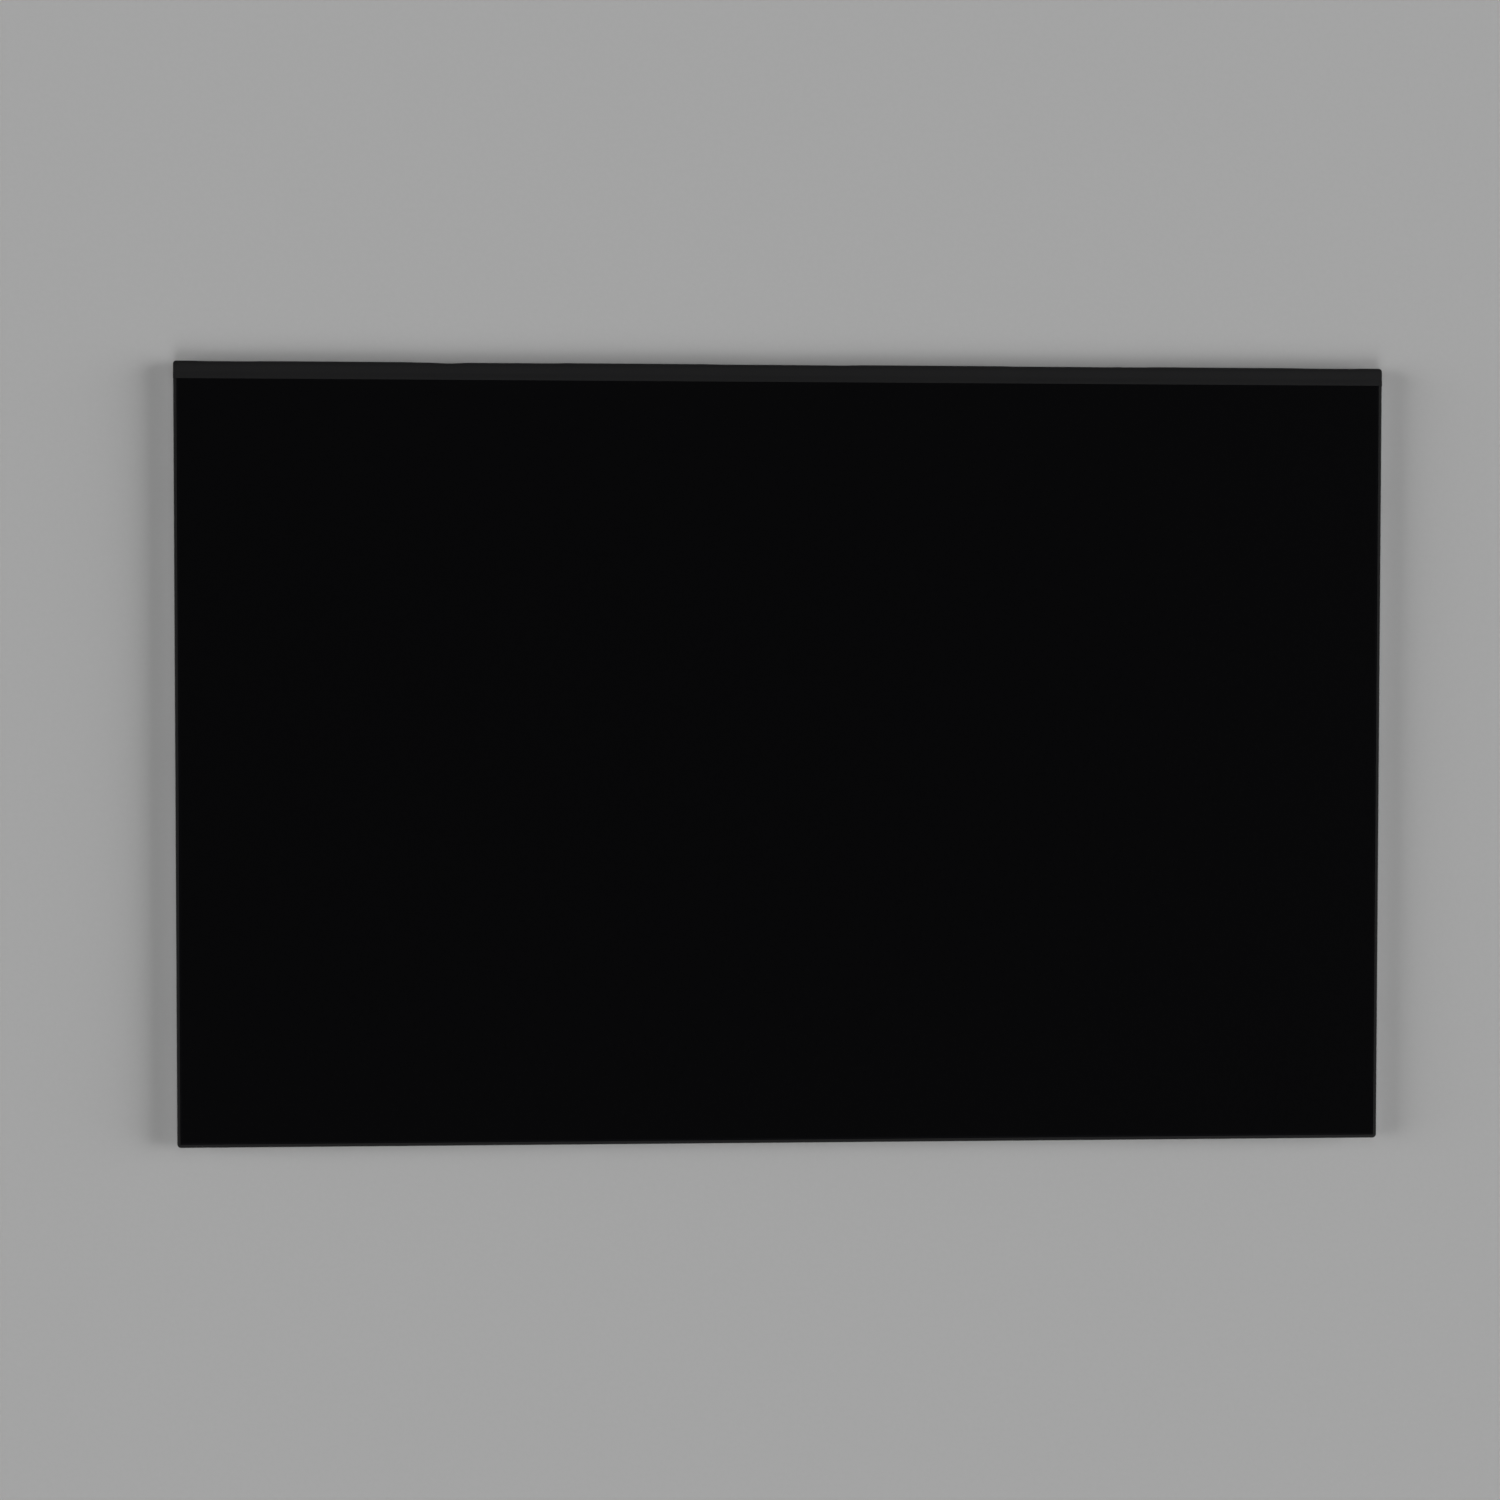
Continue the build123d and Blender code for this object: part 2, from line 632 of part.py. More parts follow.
def make_all():
    """Every piece under its own name."""
    pieces = {
        "back_plate": make_back_plate(),
        "mould_frame": make_mould_frame(),
        "reflector_sheet": layer(sheet_inset, reflector_driver, guide_level - reflector_thickness,
                                 reflector_thickness),
        "light_guide_plate": eared_layer(guide_driver, guide_level, guide_thickness),
        "diffuser_sheet": eared_layer(sheet_driver, diffuser_level, diffuser_thickness),
        "lower_prism_sheet": eared_layer(sheet_driver, lower_prism_level, prism_thickness),
        "upper_prism_sheet": eared_layer(sheet_driver, upper_prism_level, prism_thickness),
        "rim_tape": make_rim_tape(),
        "rear_polarizer": layer(polarizer_inset, array_driver - polarizer_margin, cell_level,
                                rear_polarizer_thickness),
        "array_glass": make_array_glass(),
        "color_filter_glass": layer(glass_inset, filter_driver, filter_level, glass_thickness),
        "front_polarizer": layer(polarizer_inset, polarizer_driver, front_polarizer_level,
                                 front_polarizer_thickness),
        "cover_tape": make_cover_tape(),
        "led_flex": make_led_flex(),
        "backlight_leds": make_leds(),
        "control_board": make_control_board(),
        "board_adhesive": make_board_adhesive(),
        "ceramic_capacitors": make_capacitors(),
        "chip_resistors": make_resistors(),
        "connector_housing": make_socket_housing(),
        "connector_contacts": make_socket_contacts(),
        "connector_shell": make_socket_shell(),
    }
    flex_side = half_width - sheet_inset - flex_end
    pieces["led_flex_tape"] = strip(-flex_side, flex_side, flex_inner + flex_tape_margin,
                                    guide_driver - flex_tape_margin, floor_level + flex_thickness,
                                    flex_tape_thickness)
    for number, x in enumerate(spread(film_count, film_pitch), 1):
        pieces[f"driver_film_{number}"] = Pos(x, 0, 0) * make_driver_film()
        pieces[f"driver_chip_{number}"] = Pos(x, 0, 0) * make_driver_chip()

    chips = {
        "timing_controller_chip": (make_chip(timing_side, timing_side, timing_height), timing_x),
        "power_chip": (make_chip(power_side, power_side, power_height), power_x),
        "level_shifter_chip": (make_chip(shifter_side, shifter_side, shifter_height), shifter_x),
        "led_driver_chip": (make_chip(led_driver_side, led_driver_side, led_driver_height), led_driver_x),
        "memory_chip": (make_chip(memory_length, memory_width, memory_height), memory_x),
    }
    inductor_end = led_driver_x - led_driver_side / 2 - capacitor_length - 2 * part_gap
    inductor_x = inductor_end - backlight_inductor_side / 2
    diode_end = inductor_end - backlight_inductor_side - part_gap
    diode_x = diode_end - diode_lead_length - diode_length / 2
    fuse_x = socket_x - socket_room / 2 - capacitor_length - 2 * part_gap - fuse_length / 2
    chips["backlight_inductor"] = (make_inductor(backlight_inductor_side), inductor_x)
    chips["boost_diode"] = (make_diode(), diode_x)
    chips["supply_fuse"] = (make_end_capped(fuse_length, fuse_width, fuse_height), fuse_x)
    for name, (part, x) in chips.items():
        pieces[name] = on_board(part, x, part_line)
    inductor = make_inductor(supply_inductor_side)
    pieces["supply_inductors"] = Compound(
        children=[on_board(inductor, x, part_line) for x in supply_inductor_places()])
    return pieces


os.makedirs("parts", exist_ok=True)
for piece_name, piece in make_all().items():
    export_step(piece, f"parts/{piece_name}.step")
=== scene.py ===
"""Looks of a bare laptop screen panel: its finishes, the fine parts of its board, and the stage.

The panel lies on its back. Sizes are in metres, in the solids' own frame: X along the long edge,
Y towards the driver edge with the dark tape, Z out of the picture side.
"""

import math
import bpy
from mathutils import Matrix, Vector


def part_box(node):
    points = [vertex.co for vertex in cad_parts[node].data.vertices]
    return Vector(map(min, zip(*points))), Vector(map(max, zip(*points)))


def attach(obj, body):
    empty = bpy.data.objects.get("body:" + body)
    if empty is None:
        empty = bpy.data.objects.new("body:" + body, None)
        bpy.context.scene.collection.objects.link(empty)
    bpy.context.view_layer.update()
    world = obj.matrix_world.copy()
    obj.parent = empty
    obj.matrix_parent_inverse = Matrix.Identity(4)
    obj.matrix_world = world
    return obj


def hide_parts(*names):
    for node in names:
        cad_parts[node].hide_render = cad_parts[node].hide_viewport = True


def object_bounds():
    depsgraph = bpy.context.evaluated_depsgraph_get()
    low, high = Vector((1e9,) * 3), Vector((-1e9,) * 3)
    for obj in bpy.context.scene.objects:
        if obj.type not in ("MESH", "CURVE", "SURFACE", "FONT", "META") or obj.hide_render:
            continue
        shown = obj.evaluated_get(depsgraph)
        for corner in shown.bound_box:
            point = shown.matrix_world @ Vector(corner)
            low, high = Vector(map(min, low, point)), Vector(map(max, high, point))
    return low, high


bl_info = {
    "name": "Laptop screen panel",
    "version": (1, 0, 0),
    "blender": (4, 5, 0),
    "location": "View3D > Sidebar > Screen panel",
    "description": "Finishes, board detail and stage for the solids of a bare laptop screen panel",
    "category": "Object",
}

import bmesh
import bpy
from bpy.props import FloatProperty, FloatVectorProperty, IntProperty, PointerProperty
from mathutils import Euler, Vector, noise

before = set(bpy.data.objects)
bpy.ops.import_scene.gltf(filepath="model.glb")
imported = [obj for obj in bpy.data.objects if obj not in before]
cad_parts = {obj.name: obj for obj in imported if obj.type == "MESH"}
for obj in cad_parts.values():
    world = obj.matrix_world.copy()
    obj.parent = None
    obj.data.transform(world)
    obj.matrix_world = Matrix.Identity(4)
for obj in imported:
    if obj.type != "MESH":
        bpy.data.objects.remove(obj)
CAD_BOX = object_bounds()
BODY = "root"
MM = 0.001
SEAM = MM / 1000
SQUARE_SLACK = MM / 100
SHARP_ANGLE = math.radians(35)
FILMS = sorted(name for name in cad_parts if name.startswith("driver_film_"))
DRIVER_CHIPS = sorted(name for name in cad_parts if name.startswith("driver_chip_"))
CHIPS = ("timing_controller_chip", "power_chip", "level_shifter_chip", "led_driver_chip", "memory_chip")
BOARD_LOW, BOARD_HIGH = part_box("control_board")
BOARD_REAR = BOARD_LOW.z
TAPE_LOW, TAPE_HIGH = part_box("cover_tape")
FILM_LOW, FILM_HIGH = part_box(FILMS[0])
FILM_THICKNESS = FILM_HIGH.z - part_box("array_glass")[1].z
TAPE_THICKNESS = TAPE_HIGH.y - FILM_HIGH.y
FOLD_RADIUS = (FILM_HIGH.z + TAPE_THICKNESS - TAPE_LOW.z) / 2
FOLD_Y = TAPE_HIGH.y - FOLD_RADIUS


# Settings


def linear(text):
    """An sRGB hex colour as linear RGBA."""
    values = [int(text[i:i + 2], 16) / 255 for i in (1, 3, 5)]
    return [v / 12.92 if v <= 0.04045 else ((v + 0.055) / 1.055) ** 2.4 for v in values] + [1.0]


def colour(name, about, text):
    """A colour setting with an sRGB hex default."""
    return FloatVectorProperty(name=name, description=about, default=linear(text), size=4, min=0, max=1,
                               subtype="COLOR")


def length(name, about, millimetres):
    """A length setting with a default in millimetres."""
    return FloatProperty(name=name, description=about, default=millimetres * MM, precision=5, unit="LENGTH")


def two_lengths(name, about, *millimetres):
    """A pair of lengths with defaults in millimetres."""
    return FloatVectorProperty(name=name, description=about, default=[v * MM for v in millimetres], size=2,
                               precision=5, unit="LENGTH")


def share(name, about, part):
    """A setting that is a share of a whole."""
    return FloatProperty(name=name, description=about, default=part, min=0, max=1, subtype="FACTOR")


def count(name, about, number):
    """A setting that counts things."""
    return IntProperty(name=name, description=about, default=number, min=1)


class PanelColours(bpy.types.PropertyGroup):
    """Colours of the finishes, most with the lighter tone of their grain."""

    face: colour("Face", "Matt polarizer film", "#030304")
    face_light: colour("Face, light", "Lighter grain of the film", "#050506")
    glass: colour("Glass", "Display glass over its black mask", "#0D0D0F")
    glass_light: colour("Glass, light", "Lighter parts of the mask", "#111113")
    tape: colour("Tape", "Cover tape", "#101011")
    tape_light: colour("Tape, light", "Lighter streaks of the tape", "#141415")
    rim: colour("Rim", "Moulded frame", "#0A0A0B")
    rim_light: colour("Rim, light", "Lighter grain of the frame", "#0F0F10")
    plate: colour("Plate", "Aluminium tray", "#B4B6B8")
    plate_light: colour("Plate, light", "Lighter rolling lines", "#C6C8CA")
    mask: colour("Mask", "Solder mask over bare laminate", "#12422A")
    mask_copper: colour("Mask on copper", "Solder mask over copper areas", "#1B5A38")
    mask_line: colour("Mask on a line", "Solder mask over fine lines", "#2A7A4C")
    laminate: colour("Laminate", "Raw edge of the board", "#B7A46A")
    tin: colour("Tin", "Solder and tinned metal", "#B8B9BB")
    tin_light: colour("Tin, light", "Brighter tin", "#D2D3D4")
    gold: colour("Gold", "Gold-plated pads and contacts", "#C99A45")
    gold_light: colour("Gold, light", "Brighter gold", "#E2B765")
    chip: colour("Chip", "Epoxy of the chips", "#171718")
    chip_light: colour("Chip, light", "Filler in the epoxy", "#232324")
    ceramic: colour("Ceramic", "Capacitor bodies", "#8F6A43")
    ceramic_light: colour("Ceramic, light", "Lighter ceramic", "#A98257")
    glaze: colour("Glaze", "Resistor tops", "#111216")
    glaze_light: colour("Glaze, light", "Lighter glaze", "#1A1B20")
    alumina: colour("Alumina", "Resistor and fuse bodies", "#CFCBC2")
    alumina_light: colour("Alumina, light", "Lighter alumina", "#DEDAD2")
    powder: colour("Powder", "Inductor bodies", "#3A3B3D")
    powder_light: colour("Powder, light", "Metal specks in the powder", "#57585A")
    polymer: colour("Polymer", "Socket moulding", "#BFB193")
    polymer_light: colour("Polymer, light", "Flow streaks of the moulding", "#CDC1A6")
    polyimide: colour("Polyimide", "Flexible circuits", "#6B3A12")
    polyimide_copper: colour("Polyimide on copper", "Flexible circuits over copper", "#A5682A")
    silicon: colour("Silicon", "Driver chips", "#34363C")
    silicon_light: colour("Silicon, light", "Grinding marks", "#474A52")
    acrylic: colour("Acrylic", "Light guide and optical sheets", "#CFD8D8")
    white_film: colour("White film", "Reflector and white tape", "#E4E4E2")
    white_film_light: colour("White film, light", "Lighter film", "#EFEFED")
    adhesive: colour("Adhesive", "Clear transfer tape under the board", "#C9C4B4")
    lamp_glow: colour("Lamp window", "Yellow phosphor in the lamps' windows", "#D9C24A")
    ink: colour("Ink", "Printing on the board", "#D8D8D4")


class PanelSizes(bpy.types.PropertyGroup):
    """Sizes of the tape's folds and of the fine parts on the board."""

    fold_steps: count("Fold steps", "Faces in a quarter of the fold", 12)
    tape_facet: length("Tape facet", "Length of the tape's faces along the edge", 1.5)
    tape_gauge: length("Tape gauge", "Thickness of the tape", 0.08)
    tape_corner: length("Tape corner", "Rounding of the tape's two outer corners, seen from above", 0.6)
    guard_length: length("Guard length", "Length of the frame's corner blocks under the tape", 4.0)
    step_run: length("Step run", "Length of the tape's slope from the front glass to the films", 1.8)
    end_run: length("End run", "Length of the tape's slope from the films to the board", 0.5)
    fold_sink: length("Fold sink", "How far the fold sinks between the films", 0.08)
    sink_run: length("Sink run", "Distance from a film in which the tape sinks", 4.0)
    ripple: length("Ripple", "Height of the tape's ripples", 0.015)
    ripple_length: length("Ripple length", "Length of the tape's ripples", 9.0)
    dent_x: two_lengths("Dents", "Places of the two dents in the fold", -84.8, 13.4)
    dent_depth: two_lengths("Dent depth", "Depth of each dent in the fold", 0.2, 0.04)
    dent_run: length("Dent run", "Half of a dent's length", 5.5)
    flex_pitch: length("Flex line pitch", "Spacing of the copper in the flexible circuits", 1.0)
    end_share: share("End share", "Share of a small part under each plated end", 0.25)
    end_round: length("End rounding", "Rounding of the plated ends", 0.05)
    glaze_height: length("Glaze height", "Thickness of a resistor's glaze", 0.05)
    glaze_gap: length("Glaze gap", "Gap between a resistor's glaze and its plated ends", 0.025)
    inductor_foot: length("Inductor foot", "Height of an inductor's feet", 0.12)
    diode_lead: length("Diode lead", "How far the diode's leads stand out", 0.45)
    diode_lead_width: length("Diode lead width", "Width of the diode's leads", 1.0)
    diode_lead_height: length("Diode lead height", "Thickness of the diode's leads", 0.2)
    diode_draft: length("Diode draft", "How far the diode's sides lean in", 0.1)
    diode_bar: length("Diode bar", "Width of the printed bar on the diode", 0.42)
    lead_pitch: length("Lead pitch", "Spacing of the chips' leads", 0.5)
    lead_corner: length("Lead corner", "Distance of the first lead from a chip's corner", 0.5)
    lead_width: length("Lead width", "Width of a lead and of its solder", 0.24)
    lead_climb: length("Lead climb", "How far solder climbs a lead", 0.19)
    fillet_share: share("Fillet share", "Share of a part's width that solder covers", 0.92)
    fillet_width: length("Fillet width", "Greatest width of a part's solder", 3.0)
    fillet_reach: length("Fillet reach", "How far solder runs out from a part", 0.24)
    fillet_height: length("Fillet height", "How far solder climbs a part", 0.32)
    tail_joints: count("Tail joints", "Solder joints of the lamp tail", 7)
    tail_lines: count("Tail lines", "Lines from the lamp driver to the tail", 3)
    tail_joint: length("Tail joint", "Width of a joint of the lamp tail", 0.6)
    tail_joint_height: length("Tail joint height", "Height of a joint of the lamp tail", 0.2)
    tail_joint_round: length("Tail joint rounding", "Rounding of a joint of the lamp tail", 0.085)
    line_pitch: length("Line pitch", "Spacing of the copper lines", 0.2)
    line_width: length("Line width", "Width of a copper line", 0.11)
    line_tuck: length("Line tuck", "How far lines run under the tape", 0.4)
    film_lines: count("Film lines", "Lines on each side of a film", 7)
    film_line_start: length("Film line start", "Distance of a film's first line from its middle", 3.6)
    stub_length: length("Stub length", "Length of the shortest line to a via", 1.2)
    stub_stagger: length("Stub stagger", "How much longer the next line to a via is", 0.4)
    copper_height: length("Copper height", "How far copper stands out from the board", 0.02)
    via_height: length("Via height", "How far a via's ring stands out from the board", 0.03)
    via_radius: length("Via radius", "Radius of a via's ring", 0.22)
    via_gap: length("Via gap", "Distance of a chip's vias from the chip", 0.55)
    via_pitch: length("Via pitch", "Spacing of the vias along the board's edge", 2.5)
    via_run: length("Via run", "How far the vias along the board's edge run past the socket", 8.0)
    via_clear: length("Via clearance", "Distance of the edge vias from the socket's ends", 1.0)
    lane_via_pitch: length("Lane via pitch", "Spacing of the vias of the socket's lines", 0.8)
    lane_room: two_lengths("Lane room", "Distance of the lane vias left and right of the socket", 8.0, 3.0)
    pad_pitch: length("Test pad pitch", "Spacing of the test pads", 2.2)
    pad_radius: length("Test pad radius", "Radius of a test pad", 0.5)
    pad_inset: length("Test pad inset", "Distance of the test pads from the board's ends", 2.6)
    pad_gap: length("Test pad gap", "Distance of the test pads from the parts beside them", 5.4)
    pad_drop: two_lengths("Test pad rows", "Distance of the outer and inner pads from the tape", 3.0, 5.7)
    print_gap: length("Print gap", "Gap between a part and its printed corners", 0.3)
    print_tick: length("Print tick", "Length of a printed corner", 0.7)
    print_width: length("Print width", "Width of the printed lines", 0.14)
    print_height: length("Print height", "How far print stands out from the board", 0.04)
    ink_height: length("Ink height", "Thickness of the print on the diode", 0.01)


class PanelStage(bpy.types.PropertyGroup):
    """Camera, lamps, room and floor."""

    focal_px: FloatProperty(name="Focal length", description="Focal length in pixels of the image",
                            default=2800.0, subtype="PIXEL")
    image_px: FloatProperty(name="Image width", description="Width of the square image in pixels",
                            default=1500.0, subtype="PIXEL")
    tilt: FloatVectorProperty(name="Tilt", description="The camera's turn from straight above in X, Y and Z",
                              default=[math.radians(a) for a in (-1.77, -3.23, -0.051)], subtype="EULER")
    offset: FloatVectorProperty(name="Offset", description="The panel's middle, seen from the camera",
                                default=(8.75 * MM, -1.31 * MM, -711.77 * MM), subtype="TRANSLATION",
                                precision=5)
    floor: colour("Floor", "Backdrop paper", "#ABABAB")
    floor_light: colour("Floor, light", "Lighter mottle of the paper", "#AFAFAF")
    floor_size: length("Floor size", "Side of the floor", 60000)
    lamp_spread: FloatProperty(name="Lamp spread", description="Angle that each lamp fills",
                               default=math.radians(36), unit="ROTATION")
    lamp_height: FloatVectorProperty(
        name="Lamp height", description="Angle above the floor of the driver, right, near and left lamps",
        default=[math.radians(a) for a in (50, 13, 36, 13)], size=4, unit="ROTATION")
    lamp_strength: FloatVectorProperty(
        name="Lamp strength", description="Light of the driver, right, near and left lamps, in W/m2",
        default=(0.3, 4.1, 1.2, 3.0), size=4)
    horizon: colour("Horizon", "Room at the level of the floor", "#B0B0B0")
    ceiling: colour("Ceiling", "Room overhead", "#1A1A1A")


# Node helpers


def add_node(tree, kind, options=None, **inputs):
    """Add a node, set its options, and link or set its inputs by name, or by number as in i0."""
    node = tree.nodes.new(kind)
    for key, value in (options or {}).items():
        setattr(node, key, value)
    for key, value in inputs.items():
        socket = node.inputs[int(key[1:])] if key[1:].isdigit() else node.inputs[key.replace("_", " ")]
        if isinstance(value, bpy.types.NodeSocket):
            tree.links.new(value, socket)
        else:
            socket.default_value = value
    return node


def new_material(name):
    """An empty material, and the object's own coordinates in metres."""
    material = bpy.data.materials.new(name)
    material.use_nodes = True
    tree = material.node_tree
    tree.nodes.clear()
    return material, tree, add_node(tree, "ShaderNodeTexCoord").outputs["Object"]


def grained(name, dark, light, grain, rough, bump, stretch=1, **surface):
    """A surface whose colour, gloss and relief vary with a grain in millimetres, drawn out along X."""
    if name in bpy.data.materials:
        return bpy.data.materials[name]
    material, tree, place = new_material(name)
    scaled = add_node(tree, "ShaderNodeMapping", Vector=place, Scale=(1 / stretch, 1, 1))
    fine = add_node(tree, "ShaderNodeTexNoise", Vector=scaled.outputs[0], Scale=1 / (grain * MM), Detail=3.0)
    tone = add_node(tree, "ShaderNodeMix", {"data_type": "RGBA"}, i0=fine.outputs[0], i6=dark, i7=light)
    gloss = add_node(tree, "ShaderNodeMapRange", Value=fine.outputs[0], To_Min=rough[0], To_Max=rough[1])
    relief = add_node(tree, "ShaderNodeBump", Height=fine.outputs[0], Strength=bump, Distance=grain * MM / 4)
    shader = add_node(tree, "ShaderNodeBsdfPrincipled", Base_Color=tone.outputs[2],
                      Roughness=gloss.outputs[0], Normal=relief.outputs[0], **surface)
    add_node(tree, "ShaderNodeOutputMaterial", Surface=shader.outputs[0])
    return material


# Materials


def anti_glare_polarizer(hues):
    """Cast film with an etched matt coat: black when the panel is off, with a soft haze of the lights."""
    # The coat's pits are a few micrometres wide, and are drawn at half a millimetre so that they show at all
    return grained("Anti-glare polarizer film", hues.face, hues.face_light, grain=0.5, rough=(0.24, 0.28),
                   bump=0.03, IOR=1.49, Specular_IOR_Level=0.3)


def masked_glass(hues):
    """Drawn glass over a black printed mask: a smooth dark line round the film."""
    return grained("Black-masked display glass", hues.glass, hues.glass_light, grain=6.0, rough=(0.1, 0.16),
                   bump=0.0, IOR=1.52)


def polyester_tape(hues):
    """Matt black polyester film: an even dark grey with faint streaks along its length."""
    return grained("Matt black polyester tape", hues.tape, hues.tape_light, grain=0.4, rough=(0.7, 0.8),
                   bump=0.1, stretch=12, IOR=1.57, Specular_IOR_Level=0.14)


def moulded_polycarbonate(hues):
    """Black polycarbonate from a spark-eroded mould: a dull dark rim with a fine grain."""
    return grained("Moulded black polycarbonate", hues.rim, hues.rim_light, grain=0.15, rough=(0.55, 0.7),
                   bump=0.25, IOR=1.58, Specular_IOR_Level=0.2)


def rolled_aluminium(hues):
    """Cold-rolled aluminium sheet: soft grey metal with fine lines along the rolling direction."""
    # Rolling lines are about 0.05 mm apart, and are drawn at a quarter of a millimetre so that they show
    return grained("Rolled aluminium sheet", hues.plate, hues.plate_light, grain=0.25, rough=(0.3, 0.44),
                   bump=0.08, stretch=60, Metallic=1.0)


def solder_mask(hues):
    """Green solder mask on glass-epoxy laminate: lighter over copper areas, with pale raw edges."""
    material, tree, place = new_material("Green solder mask on glass-epoxy")
    copper_area, fibre = 9 * MM, 0.4 * MM
    pour = add_node(tree, "ShaderNodeTexVoronoi", {"distance": "CHEBYCHEV"}, Vector=place,
                    Scale=1 / copper_area)
    copper = add_node(tree, "ShaderNodeMapRange", {"interpolation_type": "STEPPED"}, Steps=1.0,
                      Value=pour.outputs["Distance"], From_Min=0.2, From_Max=0.6)
    mask = add_node(tree, "ShaderNodeMix", {"data_type": "RGBA"}, i0=copper.outputs[0],
                    i6=hues.mask, i7=hues.mask_copper)
    normal = add_node(tree, "ShaderNodeNewGeometry").outputs["True Normal"]
    upright = add_node(tree, "ShaderNodeSeparateXYZ", Vector=normal)
    flat = add_node(tree, "ShaderNodeMath", {"operation": "ABSOLUTE"}, i0=upright.outputs["Z"])
    tone = add_node(tree, "ShaderNodeMix", {"data_type": "RGBA"}, i0=flat.outputs[0],
                    i6=hues.laminate, i7=mask.outputs[2])
    weave = add_node(tree, "ShaderNodeTexNoise", Vector=place, Scale=1 / fibre, Detail=2.0)
    gloss = add_node(tree, "ShaderNodeMapRange", Value=weave.outputs[0], To_Min=0.28, To_Max=0.42)
    relief = add_node(tree, "ShaderNodeBump", Height=weave.outputs[0], Strength=0.1, Distance=fibre / 20)
    shader = add_node(tree, "ShaderNodeBsdfPrincipled", Base_Color=tone.outputs[2],
                      Roughness=gloss.outputs[0], Normal=relief.outputs[0], IOR=1.55)
    add_node(tree, "ShaderNodeOutputMaterial", Surface=shader.outputs[0])
    return material


def masked_copper(hues):
    """Copper lines under the solder mask: a lighter green with the mask's own gloss."""
    return grained("Masked copper line", hues.mask_copper, hues.mask_line, grain=0.6, rough=(0.28, 0.4),
                   bump=0.1)


def tin_solder(hues):
    """Reflowed tin solder and tinned terminals: bright grey, slightly frosted."""
    return grained("Reflowed tin solder", hues.tin, hues.tin_light, grain=0.12, rough=(0.22, 0.4), bump=0.15,
                   Metallic=1.0)


def immersion_gold(hues):
    """Immersion gold over nickel: warm matt yellow metal."""
    return grained("Immersion gold", hues.gold, hues.gold_light, grain=0.1, rough=(0.25, 0.38), bump=0.1,
                   Metallic=1.0)


def chip_epoxy(hues):
    """Black epoxy moulding compound with silica filler: charcoal with a fine dull grain."""
    return grained("Black epoxy moulding compound", hues.chip, hues.chip_light, grain=0.09,
                   rough=(0.5, 0.66), bump=0.25)


def capacitor_ceramic(hues):
    """Fired titanate ceramic: tan brown and slightly waxy."""
    return grained("Tan titanate ceramic", hues.ceramic, hues.ceramic_light, grain=0.15, rough=(0.35, 0.5),
                   bump=0.1)


def resistor_glaze(hues):
    """Dark glass glaze over alumina: nearly black and glossy."""
    return grained("Dark resistor glaze", hues.glaze, hues.glaze_light, grain=0.2, rough=(0.16, 0.26),
                   bump=0.05, IOR=1.52)


def white_alumina(hues):
    """Fired alumina: matt white."""
    return grained("White alumina", hues.alumina, hues.alumina_light, grain=0.1, rough=(0.5, 0.65),
                   bump=0.15, IOR=1.6)


def iron_powder(hues):
    """Iron powder pressed in resin: speckled dark grey."""
    return grained("Pressed iron powder", hues.powder, hues.powder_light, grain=0.12, rough=(0.45, 0.7),
                   bump=0.4)


def socket_polymer(hues):
    """Natural liquid-crystal polymer: a cream moulding with faint flow streaks."""
    return grained("Natural socket polymer", hues.polymer, hues.polymer_light, grain=0.3, rough=(0.4, 0.55),
                   bump=0.1, stretch=5)


def tinned_steel(hues):
    """Tin-plated steel strip: bright, with fine drawing lines."""
    return grained("Tin-plated steel strip", hues.tin, hues.tin_light, grain=0.1, rough=(0.18, 0.32),
                   bump=0.1, stretch=30, Metallic=1.0)


def polyimide_circuit(hues, pitch):
    """Amber polyimide over copper lines: brown film with lighter stripes across the edge."""
    material, tree, place = new_material("Polyimide flexible circuit")
    # A wave texture turns through 20 radians in each unit
    lines = add_node(tree, "ShaderNodeTexWave", {"bands_direction": "X"}, Vector=place,
                     Scale=2 * math.pi / (20 * pitch), Distortion=0.0)
    copper = add_node(tree, "ShaderNodeMapRange", Value=lines.outputs["Fac"], From_Min=0.42, From_Max=0.5)
    tone = add_node(tree, "ShaderNodeMix", {"data_type": "RGBA"}, i0=copper.outputs[0],
                    i6=hues.polyimide, i7=hues.polyimide_copper)
    relief = add_node(tree, "ShaderNodeBump", Height=copper.outputs[0], Strength=0.3, Distance=0.02 * MM)
    shader = add_node(tree, "ShaderNodeBsdfPrincipled", Base_Color=tone.outputs[2], Roughness=0.3,
                      Normal=relief.outputs[0], IOR=1.7)
    add_node(tree, "ShaderNodeOutputMaterial", Surface=shader.outputs[0])
    return material


def lapped_silicon(hues):
    """Lapped silicon: a dark blue-grey sheen with fine grinding marks."""
    return grained("Lapped silicon", hues.silicon, hues.silicon_light, grain=0.08, rough=(0.15, 0.28),
                   bump=0.05, Metallic=0.6)


def guide_acrylic(hues):
    """Cast clear acrylic over white dots: a pale cool sheet with a smooth edge."""
    return grained("Clear acrylic light guide", hues.acrylic, hues.white_film, grain=0.6, rough=(0.05, 0.12),
                   bump=0.02, IOR=1.49)


def white_polyester(hues):
    """Foamed white polyester film: bright and dead matt."""
    return grained("Foamed white polyester", hues.white_film, hues.white_film_light, grain=0.2,
                   rough=(0.6, 0.8), bump=0.1)


def optical_polyester(hues):
    """Coated optical polyester: milky, with a satin sheen along its prisms."""
    return grained("Coated optical polyester", hues.acrylic, hues.white_film_light, grain=0.1,
                   rough=(0.2, 0.35), bump=0.15, stretch=40)


